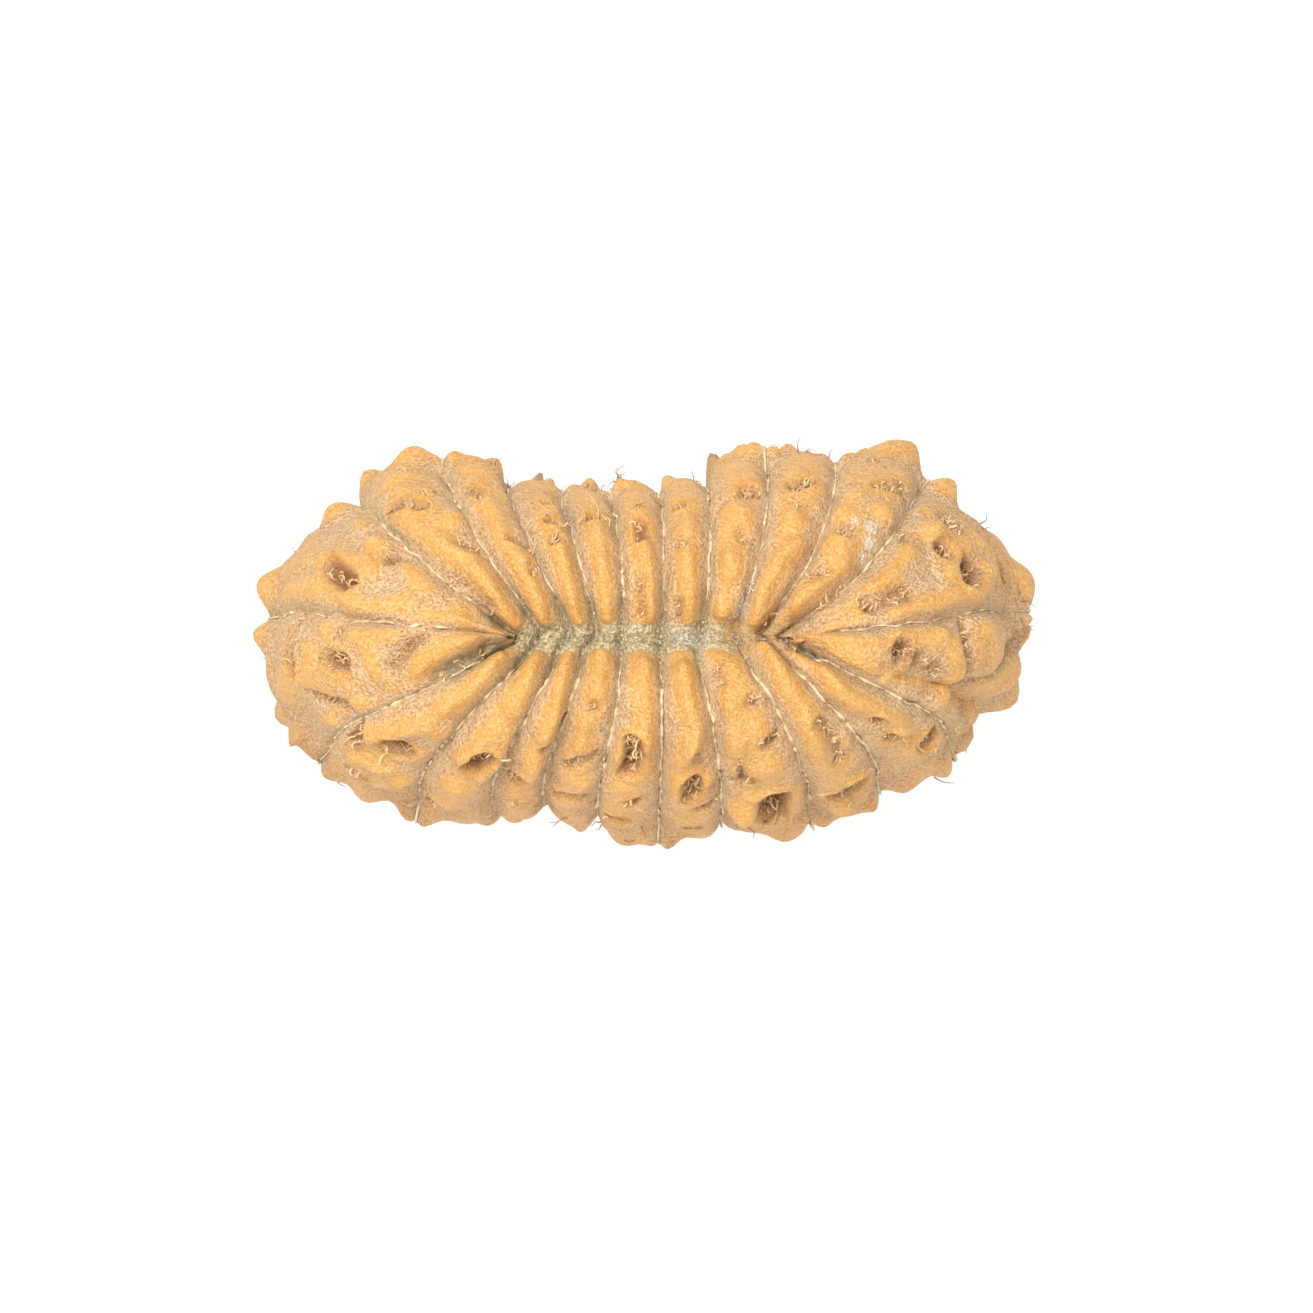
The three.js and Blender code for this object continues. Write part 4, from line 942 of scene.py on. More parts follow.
def strands(places, headings, lengths, name):
    """Curled fibres: each leaves its place along its heading and winds round it on a helix that opens
    towards the tip, with its own turns, phase and sag."""
    random = draws(name)
    count = len(places)
    side = unit(np.cross(headings, random.normal(size=(count, 3))))
    other = np.cross(headings, side)
    share = np.linspace(0, 1, FIBRE_RINGS)[None, :, None]
    turns = random.uniform(0.4, 1.3, (count, 1, 1)) * 2 * np.pi
    phase = random.uniform(0, 2 * np.pi, (count, 1, 1))
    open_up = share**0.7 * FIBRE_CURL * lengths[:, None, None]
    sway = np.cos(turns * share + phase) * side[:, None] + np.sin(turns * share + phase) * other[:, None]
    start = np.cos(phase) * side[:, None] + np.sin(phase) * other[:, None]
    sag = -(share**2) * random.uniform(0.0, 0.35, (count, 1, 1)) * lengths[:, None, None]
    bent = headings[:, None] * share * lengths[:, None, None] + (sway - start) * open_up
    bent[..., 2:] += sag
    return places[:, None] + bent


def add_strands(name, paths, radii, tones, material):
    """Tubes along the paths, toned along each from its root's colour to its tip's."""
    tubes, quads = tube(paths, radii, STRAND_SIDES)
    tips = np.broadcast_to(tones[:, :, None], tubes.shape[:3])
    add_piece(name, tubes, quads, material, {"tip": tips})


def keep_above(points, height):
    """Lifts every point that is lower than the height up to it."""
    points[..., 2] = np.maximum(points[..., 2], height)


# Materials


def new_material(name, roughness, specular):
    """A material of that roughness and specular level, its node tree and its Principled shader."""
    material = bpy.data.materials.new(name)
    material.use_nodes = True
    tree = material.node_tree
    shader = tree.nodes["Principled BSDF"]
    shader.inputs["Roughness"].default_value = roughness
    shader.inputs["Specular IOR Level"].default_value = specular
    return material, tree, shader


def node(tree, kind, values=(), **settings):
    """Adds a node, with its settings and the default values of its inputs by name or number."""
    made = tree.nodes.new(kind)
    for key, value in settings.items():
        setattr(made, key, value)
    for key, value in dict(values).items():
        if isinstance(value, bpy.types.NodeSocket):
            tree.links.new(value, made.inputs[key])
        else:
            made.inputs[key].default_value = value
    return made


def math_value(tree, operation, first, second, clamp=False):
    """A Math node's output."""
    values = {0: first, 1: second}
    return node(tree, "ShaderNodeMath", values, operation=operation, use_clamp=clamp).outputs[0]


def product(tree, first, second):
    """Two values multiplied."""
    return math_value(tree, "MULTIPLY", first, second)


def total(tree, first, second, clamp=False):
    """Two values added."""
    return math_value(tree, "ADD", first, second, clamp)


def blend_colour(tree, share, first, second, way="MIX"):
    """A colour Mix node's output."""
    made = node(tree, "ShaderNodeMix", {0: share, 6: first, 7: second}, data_type="RGBA", blend_type=way)
    return made.outputs[2]


def ranged(tree, value, low, high, out_low=0.0, out_high=1.0):
    """A Map Range node's output, smooth between its limits."""
    values = {0: value, 1: low, 2: high, 3: out_low, 4: out_high}
    return node(tree, "ShaderNodeMapRange", values, interpolation_type="SMOOTHSTEP").outputs[0]


def field(tree, name):
    """A mesh attribute's value."""
    return node(tree, "ShaderNodeAttribute", attribute_name=name).outputs["Fac"]


def millimetres(tree):
    """Object coordinates in millimetres."""
    place = node(tree, "ShaderNodeTexCoord").outputs["Object"]
    scale = (1 / MM, 1 / MM, 1 / MM)
    return node(tree, "ShaderNodeMapping", {"Vector": place, "Scale": scale}).outputs[0]


def noise(tree, place, scale, detail=2.0, rough=0.5):
    """A Noise Texture's value; the scale is in cells to a millimetre."""
    values = {"Vector": place, "Scale": scale, "Detail": detail, "Roughness": rough}
    return node(tree, "ShaderNodeTexNoise", values).outputs[0]


def dusty_grain():
    """A node group for dry woody ground: a fine noise for specks, slow patches, and a height for bump that
    adds the fine noise and a coarser one."""
    group = bpy.data.node_groups.new("dusty grain", "ShaderNodeTree")
    sockets = group.interface
    sockets.new_socket("Place", in_out="INPUT", socket_type="NodeSocketVector")
    sockets.new_socket("Speck Scale", in_out="INPUT", socket_type="NodeSocketFloat").default_value = 5.0
    for name in ("Fine", "Patches", "Height"):
        sockets.new_socket(name, in_out="OUTPUT", socket_type="NodeSocketFloat")
    inner = node(group, "NodeGroupInput").outputs
    place = inner["Place"]
    fine = noise(group, place, inner["Speck Scale"], 3.0, 0.65)
    patches = ranged(group, noise(group, place, 0.42, 3.0, 0.55), 0.35, 0.65)
    mid = noise(group, place, 2.6, 3.0, 0.6)
    height = total(group, product(group, fine, 0.45), product(group, mid, 0.55))
    node(group, "NodeGroupOutput", {"Fine": fine, "Patches": patches, "Height": height})
    return group


def use_grain(tree, scale):
    """The dusty grain placed in a material."""
    group = bpy.data.node_groups.get("dusty grain") or dusty_grain()
    made = tree.nodes.new("ShaderNodeGroup")
    made.node_tree = group
    tree.links.new(millimetres(tree), made.inputs["Place"])
    made.inputs["Speck Scale"].default_value = scale
    return made.outputs


def add_bump(tree, shader, height, strength, distance):
    """A Bump node that feeds the shader's normal."""
    values = {"Height": height, "Strength": strength, "Distance": distance}
    tree.links.new(node(tree, "ShaderNodeBump", values).outputs[0], shader.inputs["Normal"])


def rgba(colour):
    """A colour with full alpha."""
    return (*colour, 1.0)


def stone_material(look):
    """Dry woody shell, as colours laid over one another: ochre on what stands up, dusty beige on low ground,
    painted shade on the lower sides, specks, cracks, red-brown pits darkened at the bottom by painted shade,
    grey-beige furrows and seam, painted shade in the crevices beside the seam's ends, then stains and chalk.
    It is waxy only on the ridges."""
    material, tree, shader = new_material("woody shell", 0.6, 0.35)
    grain = use_grain(tree, look.speck_scale)
    fine = grain["Fine"]
    place = millimetres(tree)

    def speckled(name, *limits):
        """A field, thinned out by the fine noise between the limits."""
        return product(tree, field(tree, name), ranged(tree, fine, *limits))

    patchy = product(tree, total(tree, grain["Patches"], -0.5), 0.35)
    up = total(tree, field(tree, "raised"), patchy, clamp=True)
    dust = product(tree, ranged(tree, fine, 0.5, 0.63), ranged(tree, up, 0.95, 0.2, 0.3, 0.6))
    dark = product(tree, ranged(tree, fine, 0.5, 0.38), ranged(tree, up, 0.95, 0.3, 0.34, 0.62))
    seam_speck = ranged(tree, noise(tree, place, 6.5, 3.0, 0.7), 0.4, 0.62)
    seam = blend_colour(tree, seam_speck, rgba(look.seam_dark), rgba(look.seam_light))
    seam = blend_colour(tree, speckled("warm", 0.35, 0.6, 0.5, 0.95), seam, rgba(look.seam_warm))
    moss = field(tree, "moss")
    stain = ranged(tree, total(tree, moss, product(tree, total(tree, fine, -0.5), 1.5)), 0.25, 0.85, 0.0, 0.8)
    layers = (
        (ranged(tree, up, 0.12, 0.85), look.ridge),
        (ranged(tree, noise(tree, place, 0.9), 0.45, 0.75, 0.0, 0.35), look.ridge_light),
        # Painted shade: the lower sides are darkened towards the side colour, where light from above falls
        # less
        (field(tree, "shaded"), look.side),
        (dust, look.dust),
        (dark, look.crack),
        (speckled("crack", 0.6, 0.4, 0.35, 0.85), look.crack),
        (product(tree, field(tree, "pit"), 0.9), look.pit),
        # Painted shade: the bottoms of the pits darkened towards near black by their depth
        (product(tree, field(tree, "painted_deep_shade"), 0.85), look.painted_deep_shade),
        (speckled("band", 0.35, 0.6, 0.3, 0.8), look.furrow),
        (field(tree, "seam"), seam),
        (speckled("line", 0.6, 0.4, 0.12, 0.65), look.dark_line),
        # Painted shade: dark spots in the crevices beside the seam's ends
        (product(tree, field(tree, "painted_crevice_shade"), 0.9), look.painted_deep_shade),
        (product(tree, stain, ranged(tree, moss, 0.05, 0.4)), look.moss),
        (speckled("chalk", 0.38, 0.55, 0.1, 1.0), look.chalk),
    )
    colour = rgba(look.low)
    for share, tint in layers:
        colour = blend_colour(tree, share, colour, tint if tint is seam else rgba(tint))
    tree.links.new(colour, shader.inputs["Base Color"])
    rough = ranged(tree, up, 0.2, 0.95, 0.78, look.ridge_roughness)
    rough = total(tree, rough, product(tree, dust, 0.2), clamp=True)
    tree.links.new(rough, shader.inputs["Roughness"])
    ground = ranged(tree, up, 0.9, 0.2, 0.5, 1.0)
    add_bump(tree, shader, product(tree, grain["Height"], ground), 0.9, look.bump_depth)
    return material


def fibre_material(name, root, tip, roughness):
    """Dry fibre: darker at its root than at its tip, mottled by noise, with a fine bump."""
    material, tree, shader = new_material(name, roughness, 0.3)
    mottle = total(tree, noise(tree, millimetres(tree), 3.0), -0.5)
    share = total(tree, field(tree, "tip"), mottle, clamp=True)
    tree.links.new(blend_colour(tree, share, rgba(root), rgba(tip)), shader.inputs["Base Color"])
    add_bump(tree, shader, noise(tree, millimetres(tree), 14.0), 0.5, 0.00003)
    return material


def crumb_material(name, dark, light):
    """Mineral crumbs: each has its own tone between dark and light, with a fine bump."""
    material, tree, shader = new_material(name, 0.75, 0.4)
    colour = blend_colour(tree, field(tree, "tone"), rgba(dark), rgba(light))
    tree.links.new(colour, shader.inputs["Base Color"])
    add_bump(tree, shader, noise(tree, millimetres(tree), 12.0), 0.6, 0.00004)
    return material


# Pieces


def furrow_fields(signed, base, t):
    """Bell curves across each furrow: a pale band along it, and a narrow dark line to one side, which
    drifts with noise and is cut into pieces by it."""
    near_seam = np.exp(-((np.minimum(t, 2 - t) / 0.2) ** 2))
    band = np.exp(-((np.abs(signed) / (0.27 + 0.12 * near_seam)) ** 2))
    drift = 0.16 + 0.05 * lattice_noise(base, 0.8, "line drift")
    pieces = smoothstep(lattice_noise(base, 0.6, "line gaps"), -0.3, 0.35)
    return band, np.exp(-(((signed - drift) / 0.065) ** 2)) * pieces


def spot_mask(points, spots):
    """The highest of a set of bell curves, each laid on the smooth body: s, t, radius, strength."""
    mask = np.zeros(points.shape[:-1])
    for s, t, radius, strength in spots:
        distance = np.linalg.norm(points - smooth_point(s, t), axis=-1)
        mask = np.maximum(mask, strength * np.exp(-((distance / radius) ** 2)))
    return mask


def at_seam_ends(x, rough):
    """Rises from 0 to 1 towards each end of the seam, at an X that the noise sways."""
    sway = TAN_SWAY * rough
    return smoothstep(x + sway, *TAN_RIGHT) + smoothstep(-x + sway, *TAN_LEFT)


def shell_fields(s, t, points, surface):
    """What the material reads on the lobes: bell curves of the distance to a furrow, a seam or a spot,
    swayed by a slow noise, and how far each place stands over the blurred height round it."""
    height, signed, tip = surface["height"], surface["signed"], surface["tip"]
    base = smooth_point(s, t)
    rough = lattice_noise(base, PATCH_CELL, "patches")
    band, line = furrow_fields(signed, base, t)
    by_furrow = np.exp(-((signed / 0.3) ** 2))
    beside = by_furrow * (1 - smoothstep(t + 0.04 * rough, 0.06, 0.2)) * (1 - tip)
    top_seam = np.maximum(1 - smoothstep(t + 0.012 * rough, 0.012, 0.045), 0.45 * beside)
    low_seam = 0.5 * (1 - smoothstep(2 - t + 0.03 * rough, 0.02, 0.1))
    return {
        "raised": np.clip((height - blurred(height, RAISED_PASSES)) / RAISED_SPAN + RAISED_SHARE, 0, 1),
        "pit": surface["pit"],
        # Painted shade: how low a place lies inside a pit, for the near-black colour
        "painted_deep_shade": surface["pit"] * smoothstep(-height, 0.15, 0.6),
        # Painted shade: spots in the furrows beside the seam's ends, for the near-black colour
        "painted_crevice_shade": spot_mask(base, CREVICE_SHADE_SPOTS) * by_furrow,
        "crack": surface["crack"],
        "band": band * (1 - 0.7 * tip),
        "line": line,
        "seam": np.maximum(top_seam, low_seam),
        "moss": np.clip(spot_mask(base, MOSS_SPOTS) * (1.0 + 0.5 * rough), 0, 1),
        "chalk": np.clip(spot_mask(base, CHALK_SPOTS) * (0.9 + 1.2 * rough), 0, 1),
        # Painted shade: rises below the rim and darkens the lower sides
        "shaded": smoothstep(t, 0.7, 1.3) * 0.85,
        "warm": at_seam_ends(points[..., 0], rough),
    }


def floor_fields(floors):
    """What the material reads on the seam floors: tan ends, a chalk patch that is a bell curve along X, and
    a dark split that wanders along the seam."""
    x, y = floors[:, 0], floors[:, 1]
    rough = lattice_noise(floors, PATCH_CELL, "patches")
    white = np.exp(-(((x - 2.6) / 0.8) ** 2)) * (0.45 + 0.9 * rough)
    wander = SEAM_Y - 0.12 + 0.16 * lattice_noise(floors, 1.3, "split")
    split = np.exp(-(((y - wander) / 0.085) ** 2)) * smoothstep(x + 2 * rough, -3.0, 0.5)
    warm = at_seam_ends(x, rough)
    return {"raised": 0.35, "seam": 1.0, "warm": warm, "chalk": np.clip(white, 0, 1), "line": split}


def build_stone(sizes, look):
    """The fine stone: the same form as the part's solid on a closer grid, with fine relief, its two seam
    floors, and the fields that its material reads. Knobs underneath are moved towards their blurred
    height."""
    s, t = np.meshgrid(strip_edges(), row_levels(), indexing="ij")
    points, out, surface = stone_surface(s, t)
    height = surface["height"]
    under = smoothstep(t, *UNDER_LEVELS) * smoothstep(height, *UNDER_HEIGHTS)
    softer = under * (blurred(height, UNDER_PASSES) - height)
    points = settle(points + out * softer[..., None])
    index = np.arange(s.size).reshape(s.shape)
    flat = points.reshape(-1, 3)
    top_index, top_floor = seam_floor(flat, index[:, 0], TOP_FLOOR_DROP, len(flat), sizes)
    low_first = len(flat) + len(top_floor)
    low_index, low_floor = seam_floor(flat, index[:, -1], -BOTTOM_FLOOR_DROP, low_first, sizes)
    faces = np.concatenate(
        [grid_triangles(index, True), grid_triangles(top_index.T, False), grid_triangles(low_index, False)]
    )
    floors = np.concatenate([top_floor, low_floor])
    on_floors = floor_fields(floors)
    fields = {
        name: np.concatenate([values.ravel(), on_floors.get(name, 0.0) * np.ones(len(floors))])
        for name, values in shell_fields(s, t, points, surface).items()
    }
    points = np.concatenate([flat, floors])
    piece = add_piece("rudraksha_stone_fine", points, faces, stone_material(look), fields)
    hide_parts(STONE_NODE)


def build_threads(sizes):
    """A cream thread down each furrow: its side sway, its thickness and its gaps are noise along the
    furrow, with fewer gaps in front, and it thins out below the rim."""
    furrows = np.arange(LOBES)[:, None]
    t = np.broadcast_to(np.linspace(*THREAD_LEVELS, THREAD_RINGS), (LOBES, THREAD_RINGS))
    middle = smooth_point(furrows, t)
    sway = lattice_noise(middle, 0.9, "thread sway") * sizes.thread_sway / MM
    points, out = stone_surface(furrows + sway / np.maximum(lobe_width(0.5 + furrows, t), 0.6), t)[:2]
    thick = sizes.thread_radius / MM * (0.85 + 1.1 * lattice_noise(middle, 0.26, "thread thickness"))
    front = furrows > LOBES / 2
    gaps = np.where(front, FRONT_GAPS, BACK_GAPS)
    unbroken = smoothstep(lattice_noise(middle, 0.7, "thread gaps"), gaps, gaps + 0.35)
    thick *= unbroken * smoothstep(t, 0.03, 0.12)
    thick *= np.where(front, 1, 0.8)
    thick = np.maximum(thick, LEAST_THREAD) * (1 - 0.6 * smoothstep(t, 0.95, 1.25))
    points = points + out * THREAD_LIFT
    keep_above(points, 3 * sizes.thread_radius / MM)
    tones = 0.55 + 0.9 * lattice_noise(middle, 0.35, "thread tone")
    material = fibre_material("thread", sizes.thread_root, sizes.thread, 0.7)
    add_strands("furrow_threads", points, thick, tones, material)


def fibre_roots(spots, name):
    """Root places, headings and lengths of each spot's fibres, scattered round it inside its spread; roots
    are sunk deeper underneath."""
    random = draws(name)
    rows = []
    for s, t, spread, count, length in spots:
        width = max(0.5, float(lobe_width(math.floor(s), t)))
        away = np.clip(random.normal(0, 0.4, (int(count), 2)), -0.7, 0.7) * spread
        grown = random.uniform(0.6, 1.3, int(count)) * length
        rows.append(np.column_stack([s + away[:, 0] / width, t + away[:, 1] / FIBRE_LEVEL_LENGTH, grown]))
    s, t, lengths = np.concatenate(rows).T
    points, out = stone_surface(s, np.clip(t, 0.02, 1.95))[:2]
    lean = random.normal(size=points.shape)
    heading = unit(out * random.uniform(0.1, 0.8, (len(s), 1)) + 0.9 * unit(lean))
    sunk = 0.05 + 0.3 * smoothstep(t, 1.2, 1.4)
    return points - out * sunk[:, None], heading, lengths


def feature_spots():
    """Spots along every pit and crack, each with its own share of fibres by its size; the hidden pits get
    fewer."""
    random = draws("fibre counts")
    spots = []
    for number, (lobe, kind, half_width, depth, *places) in enumerate(RELIEF):
        seen = number < len(SEEN_RELIEF)
        if kind == PIT:
            count = round(PIT_FIBRES * half_width) if seen else random.integers(*HIDDEN_PIT_FIBRES)
            spots += [(lobe + x, y, 1.1 * half_width, count, 0.36 + 0.24 * depth) for x, y in places]
        if kind == CREASE and seen:
            spots += [(lobe + x, y, 0.25, round(CREASE_FIBRES * depth), 0.3) for x, y in places]
    return spots


def build_fibres(sizes):
    """Short curled fibres in every pit and crack, and the tufts that are seen beside them."""
    roots, headings, lengths = fibre_roots(feature_spots() + list(MORE_FIBRES), "fibre roots")
    paths = strands(roots, headings, lengths * sizes.length_share, "fibre curl")
    keep_above(paths, 2 * sizes.fibre_radius / MM)
    share = np.linspace(0, 1, FIBRE_RINGS)[None]
    varied = draws("fibre thickness").uniform(0.6, 1.25, (len(paths), 1))
    radii = sizes.fibre_radius / MM * varied * (1 - 0.6 * share**2)
    material = fibre_material("dry fibre", sizes.fibre_root, sizes.fibre, 0.75)
    add_strands("pit_fibres", paths, radii, 0.25 + 0.9 * share * varied, material)


def build_hairs(sizes):
    """Thin loose hairs on the rim, bent and darker than the fibres."""
    random = draws("hair spots")
    spots = list(RIM_HAIRS)
    for number in range(RANDOM_HAIRS):
        s, t = random.uniform(0, LOBES), random.uniform(*HAIR_LEVELS)
        spots.append((s, t, 0.6, 1, random.uniform(0.7, 1.5)))
    roots, headings, lengths = fibre_roots(spots, "hair roots")
    paths = strands(roots, headings, lengths, "hair curl")
    keep_above(paths, 2 * sizes.hair_radius / MM)
    share = np.linspace(0, 1, FIBRE_RINGS)[None]
    radii = sizes.hair_radius / MM * (1 - 0.65 * share) * np.ones((len(paths), 1))
    material = fibre_material("loose hair", sizes.hair_root, sizes.hair, 0.7)
    add_strands("loose_hairs", paths, radii, share, material)


def build_crumbs(sizes):
    """Mineral crumbs down the furrows, on the top seam, and white ones in the chalky patches, each scattered
    by a normal spread."""
    random = draws("crumbs")
    s = random.integers(0, LOBES, sizes.furrow_crumbs) + random.normal(0, 0.03, sizes.furrow_crumbs)
    t = 0.01 + np.abs(random.normal(0, 0.16, sizes.furrow_crumbs))
    in_furrows, furrows_out = stone_surface(s, np.minimum(t, 1.5))[:2]
    along = random.uniform(0, 1, sizes.seam_crumbs)
    across = random.normal(0, 0.33, sizes.seam_crumbs)
    x = mix(FURROWS[0][0], FURROWS[LOBES // 2][0], along)
    y = SEAM_Y + np.clip(across, -1, 1) * SEAM_STRIP * np.minimum(1, 6 * np.minimum(along, 1 - along))
    z = np.full_like(x, CROWN_HEIGHT - VALLEY_DEPTH - SEAM_CRUMBS_DROP) + 0.25 * np.abs(across)
    patch = []
    for spot_s, spot_t, radius, _ in CHALK_SPOTS:
        away = random.normal(0, 0.55 * radius, (int(sizes.crystals * radius), 2))
        width = max(0.5, float(lobe_width(math.floor(spot_s), spot_t)))
        level = np.maximum(0.01, spot_t + away[:, 1] / CHALK_LEVEL_LENGTH)
        patch.append(np.column_stack([spot_s + away[:, 0] / width, level]))
    patch = np.concatenate(patch)
    in_patches, patches_out = stone_surface(patch[:, 0], patch[:, 1])[:2]
    on_seam = np.stack([x, y, z], -1)
    centres = np.concatenate([in_furrows + furrows_out * 0.01, on_seam, in_patches + patches_out * 0.02])
    radii = sizes.crumb_radius / MM * random.uniform(0.5, 1.3, len(centres))
    tone = random.uniform(0, 1, len(centres)) ** 1.3
    tone[-len(patch):] = random.uniform(0.75, 1, len(patch))
    corners, faces = pebbles(centres, radii)
    material = crumb_material("mineral crumbs", sizes.crumb_dark, sizes.crumb_light)
    add_piece("seam_crumbs", corners, faces, material, {"tone": np.repeat(tone[:, None], 6, 1)}, False)


# Stage


def add_light(name, side, power, place):
    """A soft square light that points from its place at the stone."""
    light = bpy.data.lights.new(name, "AREA")
    light.shape = "SQUARE"
    light.size = side
    light.energy = power
    lamp = add_object(name, light)
    lamp.location = place
    lamp.rotation_euler = (Vector(LIGHT_AIM) - Vector(place)).to_track_quat("-Z", "Y").to_euler()


def build_floor(stage):
    """A square of near-white paper that gives some light itself."""
    material, tree, shader = new_material("pale paper", 0.9, 0.2)
    shader.inputs["Base Color"].default_value = rgba(stage.floor_colour)
    shader.inputs["Emission Color"].default_value = (1, 1, 1, 1)
    shader.inputs["Emission Strength"].default_value = stage.floor_glow
    half = stage.floor_size / 2
    mesh = bpy.data.meshes.new("floor")
    corners = [(-half, -half, 0), (half, -half, 0), (half, half, 0), (-half, half, 0)]
    mesh.from_pydata(corners, [], [(0, 1, 2, 3)])
    mesh.materials.append(material)
    add_object("floor", mesh)


def add_camera(stage):
    """The camera looks down at its target from the front, at the elevation's angle, and stands aside and low
    far enough for the stone to be framed off the middle."""
    camera = bpy.data.cameras.new("camera")
    camera.lens = stage.lens
    camera.clip_start = 0.01
    holder = add_object("camera", camera)
    forward = Vector((0, math.cos(stage.elevation), -math.sin(stage.elevation)))
    up = Vector((0, math.sin(stage.elevation), math.cos(stage.elevation)))
    target = Vector(CAMERA_TARGET) + Vector((1, 0, 0)) * stage.aside - up * stage.lower
    holder.location = target - forward * stage.distance
    holder.rotation_euler = (math.pi / 2 - stage.elevation, 0, 0)
    bpy.context.scene.camera = holder


def build_stage(stage):
    """The floor, a pale surrounding, two soft lights and the camera."""
    build_floor(stage)
    world = bpy.data.worlds.new("studio")
    world.use_nodes = True
    background = world.node_tree.nodes["Background"]
    background.inputs["Color"].default_value = (1, 1, 1, 1)
    background.inputs["Strength"].default_value = stage.surround
    bpy.context.scene.world = world
    add_light("key light", KEY_SIZE, stage.key_power, KEY_PLACE)
    add_light("front fill", FILL_SIZE, stage.fill_power, FILL_PLACE)
    add_camera(stage)
    bpy.context.scene.view_settings.view_transform = "Standard"


# Add-on


def number(name, description, default, **more):
    """A setting that is one number."""
    return FloatProperty(name=name, description=description, default=default, **more)


def size(name, description, default):
    """A length setting."""
    return number(name, description, default, unit="LENGTH", precision=5)


def colour(name, description, default):
    """A colour setting."""
    limits = {"subtype": "COLOR", "size": 3, "min": 0, "max": 1}
    return FloatVectorProperty(name=name, description=description, default=default, **limits)


class StoneSettings(bpy.types.PropertyGroup):
    """Fine relief of the stone."""

    lump_size: size("Lump size", "Cell of the soft lumps", 0.0011)
    lump_height: size("Lump height", "How far the soft lumps rise and sink", 0.0002)
    grain_size: size("Grain size", "Cell of the rough grain", 0.00036)
    grain_height: size("Grain height", "How far the rough grain rises and sinks", 0.00007)
    broken_height: size("Broken height", "Roughness of the broken wood in pits and cracks", 0.00028)
    crumb_size: size("Seam grain size", "Cell of the seam floor's roughness", 0.0003)
    crumb_height: size("Seam grain height", "Height of the seam floor's roughness", 0.00012)


class ShellColours(bpy.types.PropertyGroup):
    """Colours of the woody shell."""

    ridge: colour("Ridge", "Ochre of what stands up", (0.8, 0.41, 0.098))
    ridge_light: colour("Light ridge", "Paler ochre in patches on the ridges", (0.9, 0.53, 0.15))
    low: colour("Low ground", "Dusty beige between the ridges", (0.8, 0.51, 0.262))
    # Painted shade: the darker ochre laid on the lower sides
    side: colour("Side", "Darker ochre of the sides", (0.7, 0.35, 0.115))
    dust: colour("Dust", "Pale specks", (0.95, 0.79, 0.56))
    crack: colour("Crack", "Brown of the cracks", (0.42, 0.2, 0.08))
    pit: colour("Pit", "Red-brown of the pits", (0.34, 0.13, 0.045))
    painted_deep_shade: colour("Deep pit", "Dark brown at the bottom of a pit", (0.08, 0.03, 0.01))
    furrow: colour("Furrow", "Beige-grey band in a furrow", (0.87, 0.66, 0.4))
    # Painted shade: near black laid at the bottoms of the pits and in the crevices beside the seam's ends
    dark_line: colour("Dark line", "Fine dark line along a furrow", (0.28, 0.19, 0.09))
    seam_dark: colour("Dark seam", "Dark grains of the seam", (0.38, 0.31, 0.16))
    seam_light: colour("Light seam", "Light grains of the seam", (0.84, 0.69, 0.44))
    seam_warm: colour("Seam ends", "Tan of the seam's ends", (0.76, 0.48, 0.2))
    moss: colour("Green stain", "Dark green stains", (0.36, 0.31, 0.17))
    chalk: colour("Chalk", "White patches", (0.82, 0.81, 0.74))
    speck_scale: number("Speck scale", "Specks to a millimetre", 6.5)
    ridge_roughness: number("Ridge roughness", "Roughness of the waxy ridges", 0.46)
    bump_depth: size("Bump depth", "Depth of the finest grain", 0.00055)


class FibreSettings(bpy.types.PropertyGroup):
    """Threads, fibres and hairs."""

    thread_radius: size("Thread radius", "Mean radius of the furrow threads", 0.000085)
    thread_sway: size("Thread sway", "How far a thread wanders", 0.0001)
    fibre_radius: size("Fibre radius", "Radius of a pit fibre at its root", 0.000068)
    hair_radius: size("Hair radius", "Radius of a loose hair at its root", 0.00004)
    length_share: number("Length share", "Scales every pit fibre", 1.0)
    thread: colour("Thread", "Cream of the threads", (0.88, 0.72, 0.47))
    thread_root: colour("Thread shade", "Darker parts of the threads", (0.6, 0.45, 0.27))
    fibre: colour("Fibre", "Pale tip of a fibre", (0.9, 0.66, 0.36))
    fibre_root: colour("Fibre root", "Brown root of a fibre", (0.5, 0.24, 0.09))
    hair: colour("Hair", "Tip of a loose hair", (0.5, 0.33, 0.2))
    hair_root: colour("Hair root", "Root of a loose hair", (0.28, 0.15, 0.07))


class CrumbSettings(bpy.types.PropertyGroup):
    """Mineral crumbs."""

    seam_crumbs: IntProperty(name="Seam crumbs", description="Crumbs on the top seam", default=900)
    furrow_crumbs: IntProperty(name="Furrow crumbs", description="Crumbs down the furrows", default=500)
    crystals: IntProperty(name="Crystals", description="White crumbs to a millimetre of chalk", default=60)
    crumb_radius: size("Crumb radius", "Mean radius of a crumb", 0.00007)
    crumb_dark: colour("Dark crumb", "Darkest crumb", (0.24, 0.2, 0.1))
    crumb_light: colour("Light crumb", "Lightest crumb", (0.86, 0.8, 0.66))


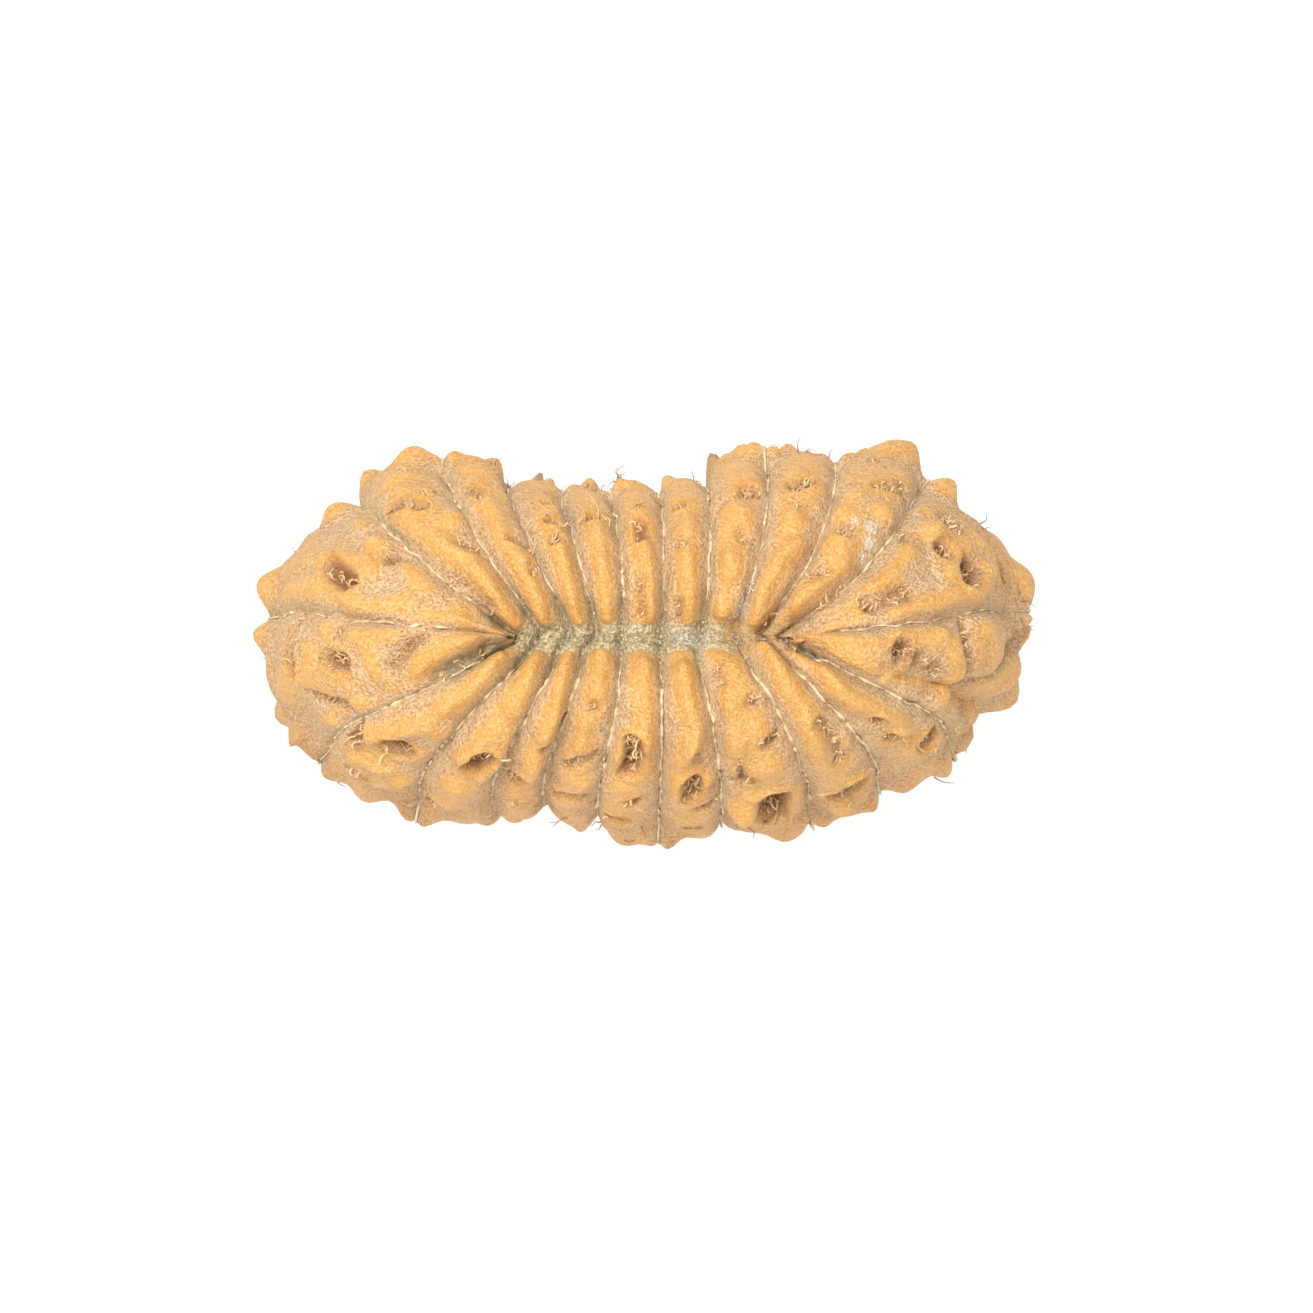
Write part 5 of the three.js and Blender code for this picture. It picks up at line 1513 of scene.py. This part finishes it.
class StageSettings(bpy.types.PropertyGroup):
    """Floor, lights and camera."""

    floor_size: size("Floor size", "Side of the floor", 1.6)
    floor_colour: colour("Floor", "Colour of the floor", (0.3, 0.3, 0.3))
    floor_glow: number("Floor glow", "Light from the paper itself", 0.85)
    surround: number("Surround", "Strength of the surrounding light", 0.5)
    key_power: number("Key power", "Watts of the key light", 2.42)
    fill_power: number("Fill power", "Watts of the front fill", 0.8)
    lens: number("Lens", "Focal length", 226.0, unit="CAMERA")
    distance: size("Distance", "Camera to stone", 0.42)
    elevation: number("Elevation", "Angle above the floor", math.radians(79), unit="ROTATION")
    aside: size("Aside", "How far the camera stands to the right", 0.00071)
    lower: size("Lower", "How far the camera stands low", 0.0013)


class SEED_OT_stone(bpy.types.Operator):
    """Build the woody stone"""

    bl_idname = "seed.stone"
    bl_label = "Stone"

    def execute(self, context):
        build_stone(context.scene.seed_stone, context.scene.seed_shell)
        return {"FINISHED"}


class SEED_OT_fibres(bpy.types.Operator):
    """Build the furrow threads, the pit fibres and the loose hairs"""

    bl_idname = "seed.fibres"
    bl_label = "Threads, fibres and hairs"

    def execute(self, context):
        settings = context.scene.seed_fibres
        build_threads(settings)
        build_fibres(settings)
        build_hairs(settings)
        return {"FINISHED"}


class SEED_OT_crumbs(bpy.types.Operator):
    """Build the mineral crumbs"""

    bl_idname = "seed.crumbs"
    bl_label = "Crumbs"

    def execute(self, context):
        build_crumbs(context.scene.seed_crumbs)
        return {"FINISHED"}


class SEED_OT_stage(bpy.types.Operator):
    """Build the floor, the lights and the camera"""

    bl_idname = "seed.stage"
    bl_label = "Stage"

    def execute(self, context):
        build_stage(context.scene.seed_stage)
        return {"FINISHED"}


class SEED_PT_panel(bpy.types.Panel):
    """Lists the steps that build the seed"""

    bl_idname = "SEED_PT_panel"
    bl_label = "Rudraksha Seed"
    bl_space_type = "VIEW_3D"
    bl_region_type = "UI"
    bl_category = "Seed"

    def draw(self, context):
        for operator in OPERATORS:
            self.layout.operator(operator.bl_idname)


SETTINGS = {
    "seed_stone": StoneSettings,
    "seed_shell": ShellColours,
    "seed_fibres": FibreSettings,
    "seed_crumbs": CrumbSettings,
    "seed_stage": StageSettings,
}
OPERATORS = (SEED_OT_stone, SEED_OT_fibres, SEED_OT_crumbs, SEED_OT_stage)
CLASSES = (*SETTINGS.values(), *OPERATORS, SEED_PT_panel)


def register():
    """Registers the classes and hangs each group of settings on the scene."""
    for made in CLASSES:
        bpy.utils.register_class(made)
    for name, settings in SETTINGS.items():
        setattr(bpy.types.Scene, name, PointerProperty(type=settings))


def unregister():
    """Takes off all that register put on."""
    for name in SETTINGS:
        delattr(bpy.types.Scene, name)
    for made in reversed(CLASSES):
        bpy.utils.unregister_class(made)


def main():
    """Builds every piece and the stage."""
    register()
    bpy.ops.seed.stone()
    bpy.ops.seed.fibres()
    bpy.ops.seed.crumbs()
    bpy.ops.seed.stage()


if __name__ == "__main__":
    main()
